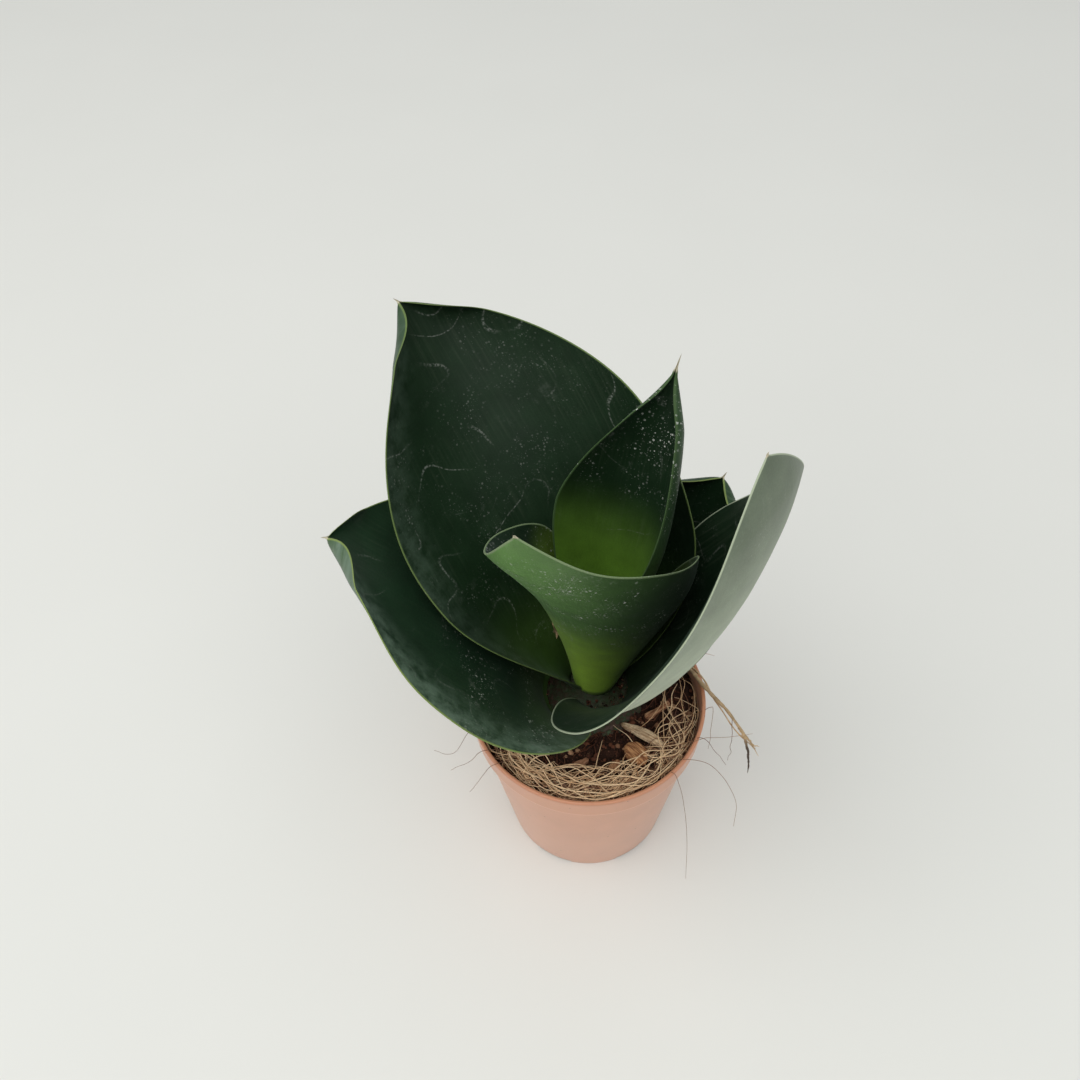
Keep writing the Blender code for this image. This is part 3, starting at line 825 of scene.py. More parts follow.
        # painted sheen: a pale band along the left margin, where light glances off the skin
        painted_sheen = skin.times(skin.fade(margin, 15.0, 1.0), skin.fade(across, 0.0, -7.0))
        painted_sheen = skin.times(skin.times(painted_sheen, finish.painted_sheen),
                         skin.fade(skin.noise(surface, 0.25, 4.0, 0.65), 0.25, 0.75))
        colour = skin.mix(painted_sheen, colour, (0.15, 0.22, 0.16))
        edge = skin.fade(margin, finish.margin_width, 0.3 * finish.margin_width)
        colour = skin.mix(edge, colour, finish.margin)
        awn = skin.fade(share, 0.998, 1.01)
        colour = skin.mix(awn, colour, (0.55, 0.50, 0.36))
        low, high = finish.dust_band
        band = skin.times(skin.fade(share, low - 0.12, low + 0.05),
                          skin.fade(share, high + 0.12, high - 0.05))
        patches = skin.fade(skin.noise(surface, 0.09, 4.0, 0.65), 0.43, 0.64)
        specks = skin.group(effects.specks, Vector=surface, Scale=1.4, Cover=0.4, Size=0.34)
        grit = skin.group(effects.specks, Vector=surface, Scale=3.4, Cover=0.3, Size=0.3)
        dust = skin.most(specks.outputs[0], grit.outputs[0])
        dust = skin.times(skin.times(dust, patches), skin.times(band, finish.dust))
        marks = skin.group(effects.marks, Vector=surface, Scale=0.03, Width=0.004).outputs[0]
        marks = skin.times(marks, finish.marks)
        scuffs = skin.fade(skin.noise(surface, 0.13, 5.0, 0.75), 0.60, 0.78)
        scuffs = skin.times(scuffs, skin.times(band, 0.35 * finish.dust))
        settled = skin.most(skin.most(dust, marks), scuffs)
        colour = skin.mix(settled, colour, (0.66, 0.68, 0.62))
        rough = skin.plus(finish.roughness, skin.times(patch, 0.12))
        rough = skin.plus(rough, skin.times(settled, 0.35))
        height = skin.plus(skin.times(grain, 0.6), skin.times(settled, 0.5))
        height = skin.plus(height, skin.times(fine, 0.5))
        skin.wear(colour, rough, height, 0.06, piece)


DARK, UNDER = (0.008, 0.024, 0.009), (0.03, 0.065, 0.03)
LEAVES = (
    Leaf(BladeShape(
        "leaf_back", azimuth=123, drift=19, lean=(21, 50, 27), length=101.0,
        half_width=(35.5, 46.5), widest_at=0.35, base_share=0.39, tip_shape=(2.2, 0.8),
        curl=(0.35, 1.15, 0.85), flare=(0, 0.15), twist=(1, 36, -9), sweep=(-3, 9),
        ring_radius=7.6, base_z=56, pinch=(1.5, 1.5), pinch_from=0.9, awn=1.6),
        BladeFinish(DARK, UNDER, margin=(0.13, 0.19, 0.06), margin_width=0.3, dust=0.12, marks=0.24,
                    painted_sheen=0.35), 1),
    Leaf(BladeShape(
        "leaf_left", azimuth=180, drift=-10, lean=(10, 58, 45), length=76.0,
        half_width=(37.5, 33.5), widest_at=0.37, base_share=0.51, tip_shape=(2.2, 0.7),
        curl=(0.15, 0.6, 0.5), flare=(-0.45, 0), twist=(0, 7, -24), sweep=(-5, -1.5),
        ring_radius=13.2, base_z=51.2, pinch=(1.6, 1.4), pinch_from=0.9, awn=1.4),
        BladeFinish((0.012, 0.035, 0.015), (0.06, 0.11, 0.05), margin_width=0.3, dust=0.5,
                    dust_band=(0.1, 0.5), marks=0.12, bloom=0.06, painted_sheen=1.0), 2),
    Leaf(BladeShape(
        "leaf_centre", azimuth=41, drift=9, lean=(11, 19, 13), length=87.0,
        half_width=(20.5, 16.5), widest_at=0.55, base_share=0.3, tip_shape=(1.5, 1.05),
        curl=(0.9, 1.2, 1.55), flare=(-0.3, -0.1), twist=(2, 14, -15), sweep=(-5, 0.5),
        ring_radius=2.4, base_z=57.7, pinch=(0.9, 1.2), pinch_from=0.86, awn=3.6),
        BladeFinish(DARK, (0.035, 0.075, 0.03), glow=(0.12, 0.24, 0.025), glow_from=0.34,
                    glow_to=0.66, glow_amount=0.85, margin=(0.06, 0.11, 0.04), dust=1.0,
                    dust_band=(0.7, 0.92), marks=0.1), 3),
    Leaf(BladeShape(
        "leaf_front", azimuth=245, drift=-10, lean=(-5, 40, 18), length=93.0,
        half_width=(34, 29), widest_at=0.41, base_share=0.39, tip_shape=(1.25, 0.8),
        curl=(1.9, 1.5, -0.35), flare=(-0.1, -0.3), twist=(0, 9, -15), sweep=(-1.5, 12),
        ring_radius=4.4, base_z=57.7, awn=1.6),
        BladeFinish(DARK, (0.11, 0.235, 0.055), glow=(0.40, 0.64, 0.075), glow_from=0.14,
                    glow_to=0.5, glow_amount=0.9, margin=(0.22, 0.30, 0.15), margin_width=0.3,
                    dust=1.0, dust_band=(0.35, 0.85), marks=0.3, bloom=0.05, painted_left_shade=0.75), 4),
    Leaf(BladeShape(
        "leaf_right", azimuth=-35, drift=-3, lean=(24, 28, -12), length=104.0,
        half_width=(34.5, 37), widest_at=0.46, base_share=0.42, tip_shape=(1.55, 0.75),
        curl=(0.7, 0.75, -0.05), flare=(-0.3, -0.9), twist=(5, -9, 5), sweep=(2, 12),
        ring_radius=9.6, base_z=53.8, awn=1.2),
        BladeFinish(DARK, (0.44, 0.51, 0.37), glow=(0.12, 0.19, 0.08), glow_amount=0.12,
                    margin=(0.42, 0.48, 0.34), margin_width=0.3, dust=0.15, marks=0.2, streaks=0.3,
                    tip_shade=0.7), 5),
    Leaf(BladeShape(
        "leaf_rear", azimuth=34, drift=8, lean=(21, 48, 19), length=58.5,
        half_width=(27, 28), widest_at=0.48, base_share=0.52, tip_shape=(1.95, 0.7),
        curl=(1, 1.15, 1), flare=(0, 0.1), twist=(-5, -1, -4), sweep=(1, 2),
        ring_radius=11, base_z=51.9, pinch=(1.0, 1.0), pinch_from=0.9, awn=1.8),
        BladeFinish(DARK, UNDER, margin_width=0.25, dust=0.1, marks=0.2), 6),
)


# ---------------------------------------------------------------- pot, soil and stem


@dataclass(frozen=True)
class Pot:
    """The nursery pot: a thin tapered cup with a stepped collar, foot notches and drain holes."""

    height: float = 54.0
    rim_radius: float = 30.0
    collar_height: float = 6.7
    collar_foot_radius: float = 29.6
    body_top_radius: float = 28.5
    base_radius: float = 22.0
    wall: float = 1.0
    floor: float = 1.2
    notches: int = 6
    notch_width: float = 10.0
    notch_depth: float = 3.0
    notch_height: float = 1.0
    first_notch: float = -119.0
    drain_radius: float = 1.9
    drain_circle: float = 14.5
    bead_height: float = 0.35
    wall_spread: float = 7.4
    sharp_angle: float = 35.0
    segments: int = 384

    def profile(self) -> Array:
        """The wall's outline from the underside's centre, up the outside, and down the inside."""
        step = self.height - self.collar_height
        notch_from = self.base_radius - self.notch_depth
        bead = np.linspace(0, math.pi, 9)
        rim_middle = self.rim_radius - self.wall / 2
        rim = np.stack([rim_middle + self.wall / 2 * np.cos(bead),
                        self.height - self.bead_height + self.bead_height * np.sin(bead)], -1)
        share = np.linspace(0, 1, 14)[:, None]
        foot = np.array([self.base_radius + 0.15, self.notch_height])
        top = np.array([self.body_top_radius, step - 0.5])
        outside = foot + (top - foot) * share
        inner_top = (self.body_top_radius - self.wall, step - 0.6)
        return np.vstack([
            [(0, 0), (notch_from - 0.1, 0), (notch_from + 0.1, 0), (self.base_radius - 0.5, 0),
             (self.base_radius - 0.15, 0.05), (self.base_radius, 0.2), (self.base_radius + 0.1, 0.6)],
            outside,
            [(self.body_top_radius + 0.02, step - 0.25), (self.body_top_radius + 0.12, step - 0.1),
             (self.collar_foot_radius - 0.2, step - 0.05), (self.collar_foot_radius, step + 0.15),
             (self.collar_foot_radius + 0.02, step + 0.5), (self.rim_radius - 0.02, self.height - 0.9)],
            rim,
            [(self.collar_foot_radius - self.wall, step + 0.4), inner_top,
             (self.base_radius - self.wall + 0.6, self.floor + 0.6),
             (self.base_radius - self.wall - 0.2, self.floor), (0, self.floor)],
        ])

    def build(self) -> Piece:
        """Turn the profile, lift the foot at the notches, and drill the drain holes."""
        points, faces = lathe(self.profile(), self.segments)
        radius = np.hypot(points[:, 0], points[:, 1])
        azimuth = np.degrees(np.arctan2(points[:, 1], points[:, 0])) - self.first_notch
        pitch = 360.0 / self.notches
        offset = np.radians((azimuth + pitch / 2) % pitch - pitch / 2) * radius
        inside = eased((self.notch_width / 2 + 0.25 - np.abs(offset)) / 0.5)
        low = (radius > self.base_radius - self.notch_depth) & (points[:, 2] < self.notch_height)
        points[:, 2] += np.where(low, (self.notch_height - points[:, 2]) * inside, 0.0)
        pot = make_piece("nursery_pot", points, faces, "pot", "pot")
        self.drill(pot)
        return pot

    def drill(self, pot: Piece) -> None:
        """Cut the round drain holes through the floor."""
        cutter = bmesh.new()
        for index in range(self.notches):
            azimuth = math.radians(self.first_notch + (index + 0.5) * 360.0 / self.notches)
            reach = self.drain_circle * MM
            place = (reach * math.cos(azimuth), reach * math.sin(azimuth), 0)
            bmesh.ops.create_cone(cutter, cap_ends=True, segments=32, radius1=self.drain_radius * MM,
                                  radius2=self.drain_radius * MM, depth=4 * self.floor * MM,
                                  matrix=Matrix.Translation(place))
        mesh = bpy.data.meshes.new("drill")
        cutter.to_mesh(mesh)
        cutter.free()
        drill = bpy.data.objects.new("drill", mesh)
        bpy.context.scene.collection.objects.link(drill)
        boolean = pot.modifiers.new("drain", "BOOLEAN")
        boolean.operation, boolean.object = "DIFFERENCE", drill
        graph = bpy.context.evaluated_depsgraph_get()
        drilled = bpy.data.meshes.new_from_object(pot.evaluated_get(graph))
        pot.modifiers.clear()
        pot.data = drilled
        drilled.set_sharp_from_angle(angle=math.radians(self.sharp_angle))
        bpy.data.objects.remove(drill)

    def dress(self, pot: Piece, effects: Effects) -> None:
        """Satin moulded plastic, finely scuffed: hazed outside, with a painted reflection of the floor
        towards the foot and a painted highlight on the collar's step; redder and soil-stained inside,
        darkened by painted shade.
        """
        skin = Surface("pot", Gloss(coat=0.25, coat_roughness=0.2, sheen=0.08, specular=0.5,
                                    subsurface=0.06))
        place = skin.place()
        parts = skin.add("ShaderNodeSeparateXYZ", None, Vector=place)
        radius = skin.math("SQRT", skin.plus(skin.math("POWER", parts.outputs[0], 2.0),
                                             skin.math("POWER", parts.outputs[1], 2.0)))
        rise = skin.math("DIVIDE", parts.outputs[2], self.height)
        wall_middle = skin.plus(self.base_radius - 0.5, skin.times(rise, self.wall_spread))
        inner = skin.fade(skin.minus(radius, wall_middle), 0.15, -0.15)
        # painted shade inside the cup: the inside is darker and redder, partly its soil stain and partly
        # shade
        colour = skin.mix(inner, (0.68, 0.335, 0.21), (0.42, 0.15, 0.07))
        # painted highlight: a pale line along the collar's step
        line = skin.times(skin.fade(rise, 0.868, 0.873), skin.fade(rise, 0.884, 0.878))
        top = skin.fade(rise, 0.972, 0.992)
        colour = skin.mix(skin.times(line, 0.9), colour, (0.92, 0.58, 0.42))
        colour = skin.mix(skin.times(top, 0.6), colour, (0.55, 0.21, 0.10))
        colour = skin.mottle(effects, place, colour, 0.09, 0.12)[0]
        colour, fine = skin.mottle(effects, place, colour, 3.0, 0.06)
        # outside only: partly a dust film and partly a painted reflection of the pale floor, stronger
        # towards the foot
        haze_and_floor_reflection = skin.times(skin.fade(rise, 0.95, 0.0), 0.30)
        haze_and_floor_reflection = skin.times(haze_and_floor_reflection, skin.minus(1.0, inner))
        colour = skin.mix(haze_and_floor_reflection, colour, (0.74, 0.50, 0.40))
        upright = skin.stretched(place, 1.0, 1.0, 0.08)
        scuff = skin.fade(skin.noise(upright, 1.8, 3.0, 0.7), 0.66, 0.80)
        colour = skin.mix(skin.times(scuff, 0.25), colour, (0.72, 0.55, 0.46))
        dirt = skin.group(effects.specks, Vector=place, Scale=0.8, Cover=0.10, Size=0.16).outputs[0]
        stain = skin.times(skin.fade(skin.noise(place, 0.5, 4.0), 0.45, 0.7), inner)
        dirt = skin.most(skin.times(dirt, 0.5), skin.times(stain, 0.75))
        colour = skin.mix(dirt, colour, (0.09, 0.045, 0.03))
        rough = skin.plus(0.42, skin.times(fine, 0.14))
        height = skin.plus(skin.times(fine, 0.4), dirt)
        skin.wear(colour, rough, height, 0.04, pot)


def lumps(places: Array, sizes: Array, rng: np.random.Generator,
          rings: int = 5, segments: int = 8) -> tuple[Array, list, Array]:
    """Many small uneven lumps at once.

    A lump is a ball of latitude rings whose points are pushed in and out by lattice noise, then
    stretched along three axes and turned about +Z.

    Args:
        places: the lumps' middles.
        sizes: their half sizes, one row of three each.
        rng: draws their turns and their noise.
        rings: rings between the poles.
        segments: points on a ring.

    Returns:
        The points, a list of face arrays, and each point's lump number.
    """
    latitude = np.linspace(-math.pi / 2, math.pi / 2, rings + 2)[1:-1]
    ball = np.stack([np.cos(latitude), np.sin(latitude)], -1)
    template, faces = lathe(np.vstack([[0, -1], ball, [0, 1]]), segments)
    count = len(places)
    shift = rng.uniform(0, 90, (count, 1, 3))
    bulge = 1 + 0.32 * lattice_noise(template[None] * 1.2 + shift, 1.0, 7)
    body = template[None] * bulge[..., None] * sizes[:, None]
    turn = rng.uniform(0, math.tau, (count, 1))
    x = body[..., 0] * np.cos(turn) - body[..., 1] * np.sin(turn)
    y = body[..., 0] * np.sin(turn) + body[..., 1] * np.cos(turn)
    points = np.stack([x, y, body[..., 2]], -1) + places[:, None]
    step = (np.arange(count) * len(template))[:, None, None]
    every = [(group[None] + step).reshape(-1, group.shape[1]) for group in faces]
    return points.reshape(-1, 3), every, np.repeat(np.arange(count), len(template))


@dataclass(frozen=True)
class Soil:
    """The peat: a filled body with a crumbly top, and loose crumbs and fibres on it."""

    foot_z: float = 1.5
    foot_radius: float = 20.9
    collar_z: float = 46.9
    collar_radius: float = 27.0
    ring_step: float = 0.42
    segments: int = 300
    wall_from: float = 25.0
    wall_run: float = 3.4
    crumbs: int = 2300
    axil_crumbs: int = 90
    strands: int = 300

    def top(self, x: Array, y: Array) -> Array:
        """The crumbly surface: the level, plus ridged noise at three sizes, lower at the wall."""
        flat = np.stack([x, y, np.zeros_like(x)], -1)
        coarse = 0.75 * (1 - np.abs(lattice_noise(flat, 2.6, 11)) * 2)
        middle = 0.40 * (1 - np.abs(lattice_noise(flat, 1.2, 12)) * 2)
        fine = 0.22 * lattice_noise(flat, 0.6, 13)
        edge = 0.9 * eased((np.hypot(x, y) - self.wall_from) / self.wall_run)
        return soil_height(x, y) + coarse + middle + fine - edge

    def build(self) -> Piece:
        """Turn the body and raise its top."""
        radii = np.arange(SOIL_EDGE, self.ring_step, -self.ring_step)
        rings = np.stack([radii, np.full_like(radii, SOIL_LEVEL)], -1)
        side = [(0, self.foot_z), (self.foot_radius, self.foot_z), (self.collar_radius, self.collar_z),
                (SOIL_EDGE, self.collar_z + 1.2)]
        points, faces = lathe(np.vstack([side, rings, [(0, SOIL_LEVEL)]]), self.segments)
        high = points[:, 2] > SOIL_LEVEL - 0.01
        points[high, 2] = self.top(points[high, 0], points[high, 1])
        return make_piece("soil_body", points, faces, "soil", "soil")

    def scatter(self, rng: np.random.Generator, count: int) -> Array:
        """Places spread evenly over the soil's top: the radius is the root of an even draw."""
        radius = (SOIL_EDGE - 0.6) * np.sqrt(rng.uniform(0.0, 1.0, count))
        azimuth = rng.uniform(0, math.tau, count)
        x, y = radius * np.cos(azimuth), radius * np.sin(azimuth)
        return np.stack([x, y, self.top(x, y)], -1)

    def loose(self) -> Piece:
        """Crumbs on the soil, most of them under a millimetre, and some in the leaves' axils."""
        rng = np.random.default_rng(21)
        places = self.scatter(rng, self.crumbs)
        azimuth = rng.uniform(math.radians(-125), math.radians(20), self.axil_crumbs)
        radius = rng.uniform(5.6, 8.8, self.axil_crumbs)
        axil = np.stack([PLANT_X + radius * np.cos(azimuth), PLANT_Y + radius * np.sin(azimuth),
                         Stem().height_at(radius) + 0.2], -1)
        places = np.vstack([places, axil])
        size = 0.22 + 0.75 * rng.random(len(places)) ** 3
        size[self.crumbs:] *= 0.6
        sizes = size[:, None] * rng.uniform(0.6, 1.25, (len(places), 3))
        points, faces, number = lumps(places, sizes, rng)
        tint = rng.random(len(places))[number]
        return make_piece("soil_crumbs", points, faces, "soil", attributes={"tint": tint})

    def fibres(self) -> Piece:
        """Short peat fibres: gently bent lines that lie over the crumbs."""
        rng = np.random.default_rng(22)
        steps = np.linspace(-0.5, 0.5, 9)
        middle = self.scatter(rng, self.strands)
        heading = rng.uniform(0, math.tau, (self.strands, 1))
        length = rng.uniform(2.5, 9.0, (self.strands, 1))
        bow = rng.normal(0, 1.4, (self.strands, 1)) * (0.25 - steps ** 2) * 2
        x = middle[:, :1] + steps * length * np.cos(heading) - bow * np.sin(heading)
        y = middle[:, 1:2] + steps * length * np.sin(heading) + bow * np.cos(heading)
        reach = np.hypot(x, y)
        keep = np.minimum(1.0, (SOIL_EDGE - 0.4) / reach)
        x, y = x * keep, y * keep
        z = self.top(x, y) + 0.35 + rng.uniform(0, 0.5, (self.strands, 1))
        radii = np.repeat(rng.uniform(0.05, 0.12, (self.strands, 1)), len(steps), axis=1)
        points, faces = capped_tubes(np.stack([x, y, z], -1), radii, 4)
        tint = np.repeat(rng.uniform(0.3, 1.0, self.strands), len(steps) * 4)
        return make_piece("peat_fibres", points, faces, "soil", attributes={"tint": tint})

    def dress(self, body: Piece, loose: Piece, fibres: Piece, effects: Effects) -> None:
        """Dark peat: nearly black hollows, red-brown crumbs and a few tan ones."""
        skin = Surface("soil", Gloss(specular=0.2))
        place = skin.place()
        colour = skin.mottle(effects, place, (0.030, 0.012, 0.007), 0.5, 0.8)[0]
        colour, fine = skin.mottle(effects, place, colour, 4.0, 0.8)
        flecks = skin.group(effects.specks, Vector=place, Scale=1.6, Cover=0.3, Size=0.35).outputs[0]
        colour = skin.mix(skin.times(flecks, 0.7), colour, (0.17, 0.075, 0.045))
        height = skin.plus(fine, flecks)
        skin.wear(colour, 0.95, height, 0.25, body)
        crumb = Surface("soil_crumbs", Gloss(specular=0.25))
        place = crumb.place()
        tint = crumb.value("tint")
        colour = crumb.mix(crumb.fade(tint, 0.2, 0.8), (0.020, 0.007, 0.004), (0.12, 0.042, 0.022))
        colour = crumb.mix(crumb.fade(tint, 0.93, 0.99), colour, (0.40, 0.23, 0.13))
        colour, fine = crumb.mottle(effects, place, colour, 3.5, 0.6)
        crumb.wear(colour, 0.9, fine, 0.15, loose, fibres)


@dataclass(frozen=True)
class Stem:
    """The short fleshy stem: set in the soil, with a low cone that the leaves clasp."""

    foot_z: float = 36.0
    foot_radius: float = 9.0
    collar_radius: float = 13.6
    collar_z: float = 49.6
    top_z: float = 55.6
    top_radius: float = 1.6
    inset: float = 0.8
    scars: int = 6
    rings: int = 40

    def height_at(self, radius: Array) -> Array:
        """The cone's height at a distance from the plant's axis."""
        slope = (self.top_z - self.collar_z) / (self.collar_radius - self.inset - self.top_radius)
        return self.collar_z + slope * (self.collar_radius - self.inset - radius)

    def build(self) -> Piece:
        """Turn the cone; its side is ringed by low leaf scars and dented by noise."""
        radii = np.linspace(self.collar_radius - self.inset, self.top_radius, self.rings)
        height = self.height_at(radii)
        ridge = 0.22 * np.abs(np.sin(np.linspace(0, self.scars * math.pi, self.rings)))
        cone = np.stack([radii, height + ridge], -1)
        profile = np.vstack([
            [(0, self.foot_z), (self.foot_radius, self.foot_z),
             (self.collar_radius - 0.2, self.collar_z - 1.6),
             (self.collar_radius, self.collar_z - 1.0), (self.collar_radius - 0.3, self.collar_z - 0.3)],
            cone, [(0, self.top_z + 0.2)]])
        points, faces = lathe(profile, 120)
        points[:, 2] += 0.18 * lattice_noise(points, 2.0, 31) * (points[:, 2] > self.collar_z)
        points += (PLANT_X, PLANT_Y, 0.0)
        return make_piece("stem_cone", points, faces, "stem", "stem")

    def dress(self, piece: Piece, effects: Effects) -> None:
        """Dark green flesh, browner in patches and dusted with peat lower down."""
        skin = Surface("stem", Gloss(specular=0.4, subsurface=0.1))
        place = skin.place()
        colour, patch = skin.mottle(effects, place, (0.035, 0.06, 0.022), 0.35, 0.5)
        height = skin.add("ShaderNodeSeparateXYZ", None, Vector=place).outputs[2]
        low = skin.fade(height, self.top_z - 1.5, self.collar_z + 0.5)
        dirt = skin.fade(skin.noise(place, 1.1, 4.0), 0.35, 0.6)
        dirt = skin.times(dirt, skin.plus(0.35, skin.times(low, 0.6)))
        colour = skin.mix(dirt, colour, (0.06, 0.028, 0.018))
        skin.wear(colour, 0.6, skin.plus(dirt, patch), 0.2, piece)


# ---------------------------------------------------------------- what lies on the soil


@dataclass(frozen=True)
class Coir:
    """The pale coir along the front of the rim: crossing fibres, and some long loops."""

    fibres: int = 330
    stragglers: int = 46
    steps: int = 18
    sides: int = 5
    from_azimuth: float = -165.0
    to_azimuth: float = -10.0
    inner: float = 20.0
    outer: float = 28.3
    closest: float = 17.0
    depth: float = 1.9

    LOOPS = (
        ((25.0, 6.0), (27.5, 2.5), (27.0, -4.5), (24.0, -10.0), (18.0, -11.5), (13.0, -10.5)),
        ((6.0, -7.0), (9.0, -10.5), (11.5, -14.5), (15.0, -17.0), (19.0, -15.5)),
        ((3.0, -11.0), (1.5, -16.0), (0.0, -20.0), (-4.0, -21.5), (-7.5, -20.0), (-10.0, -16.5)),
        ((-15.0, -16.5), (-7.5, -20.5), (-2.5, -23.5), (4.0, -24.5), (10.0, -23.5), (13.5, -19.5),
         (15.5, -15.5)),
        ((20.0, 1.0), (18.5, -2.5), (15.5, -6.5), (12.5, -8.5)),
        ((-20.0, -12.5), (-16.0, -15.0), (-10.0, -19.5), (-6.0, -22.5)),
        ((-17.5, -20.0), (-14.5, -16.5), (-10.5, -14.5)),
        ((-24.0, -14.5), (-20.5, -14.0), (-18.0, -12.5)),
        ((17.0, -21.0), (21.0, -17.5), (24.5, -13.5), (26.5, -9.0)),
        ((-22.0, -16.0), (-14.0, -21.0), (-4.0, -25.5), (8.0, -26.0), (18.0, -20.5), (24.0, -13.0)),
        ((-12.0, -24.0), (-4.0, -24.5), (6.0, -22.0), (14.0, -22.5), (22.0, -16.0)),
        ((-8.0, -26.5), (2.0, -27.0), (12.0, -24.8), (20.5, -18.8)),
        ((23.5, 10.0), (25.5, 4.0), (24.0, -2.0), (25.5, -8.0)),
    )

    def mat(self, soil: Soil) -> Piece:
        """Crossing fibres round the front of the rim.

        A fibre's azimuth runs evenly over its own span, its radius from one draw to another with
        a bow between, and its height wanders inside the mat.
        """
        rng = np.random.default_rng(41)
        t = np.linspace(0, 1, self.steps)
        count = self.fibres
        middle = np.clip(rng.normal(-80, 40, (count, 1)), self.from_azimuth, self.to_azimuth)
        span = rng.uniform(2, 40, (count, 1)) * rng.choice([-1, 1], (count, 1))
        wander = lattice_noise(along_strand(t, 4, np.arange(count)[:, None] * 9.0), 1.0, 42)
        azimuth = np.radians(middle + span * (t - 0.5) + 3 * wander)
        start, end = (self.outer - (self.outer - self.inner) * rng.random((count, 1)) ** 1.8
                      for _ in range(2))
        bow = rng.normal(0, 1.8, (count, 1)) * np.sin(math.pi * t * rng.uniform(0.8, 1.8, (count, 1)))
        radius = np.clip(start + (end - start) * t + bow, self.closest, self.outer)
        x, y = radius * np.cos(azimuth), radius * np.sin(azimuth)
        level = rng.uniform(0.3, 1.0, (count, 1))
        lift = 0.45 * np.sin(math.pi * t) * rng.normal(0, 1.0, (count, 1))
        z = soil_height(x, y) + 0.3 + self.depth * level + lift
        radii = rng.uniform(0.045, 0.13, (count, 1)) * (1 - 0.5 * np.abs(2 * t - 1) ** 4)
        points, faces = capped_tubes(np.stack([x, y, z], -1), radii, self.sides)
        tint = np.repeat(rng.random(count) ** 1.5, self.steps * self.sides)
        return make_piece("coir_mat_fibres", points, faces, "coir_mat", "coir_mat",
                          attributes={"tint": tint})

    def loops(self) -> Piece:
        """Long pale fibres that arch over the soil: higher in the middle than at their ends."""
        rng = np.random.default_rng(43)
        steps = 60
        t = np.linspace(0, 1, steps)
        azimuth = np.radians(rng.uniform(-160, -5, (self.stragglers, 1))
                             + rng.uniform(8, 26, (self.stragglers, 1)) * np.arange(-1.5, 2))
        reach = rng.uniform(18.5, 28.2, azimuth.shape)
        strays = np.stack([reach * np.cos(azimuth), reach * np.sin(azimuth)], -1)
        routes, radii = [], []
        for route in (*self.LOOPS, *strays):
            flat = smooth_route(np.array(route), steps)
            flat *= np.minimum(1.0, self.outer / np.hypot(*flat.T))[:, None]
            lift = 1.6 + rng.uniform(0.6, 2.6) * np.sin(math.pi * t) ** 0.8
            wander = 0.3 * lattice_noise(along_strand(t, 6, len(routes) * 5.0), 1.0, 44)
            routes.append(np.column_stack([flat, soil_height(*flat.T) + lift + wander]))
            radii.append(rng.uniform(0.07, 0.16) * (1 - 0.55 * np.abs(2 * t - 1) ** 3))
        points, faces = capped_tubes(np.array(routes), np.array(radii), 7)
        tint = np.repeat(rng.uniform(0.6, 1.0, len(routes)), steps * 7)
        return make_piece("coir_loops", points, faces, "coir_mat", attributes={"tint": tint})

    def dress(self, pieces: tuple[Piece, ...], effects: Effects) -> None:
        """Dry straw colours from fibre to fibre, with fine darker grain."""
        skin = Surface("coir", Gloss(sheen=0.2, specular=0.3))
        tint = skin.value("tint")
        colour = skin.mix(skin.fade(tint, 0.05, 0.45), (0.16, 0.06, 0.028), (0.55, 0.31, 0.15))
        colour = skin.mix(skin.fade(tint, 0.45, 0.95), colour, (0.86, 0.62, 0.38))
        colour, fine = skin.mottle(effects, skin.place(), colour, 2.2, 0.45)
        skin.wear(colour, 0.75, fine, 0.05, *pieces)


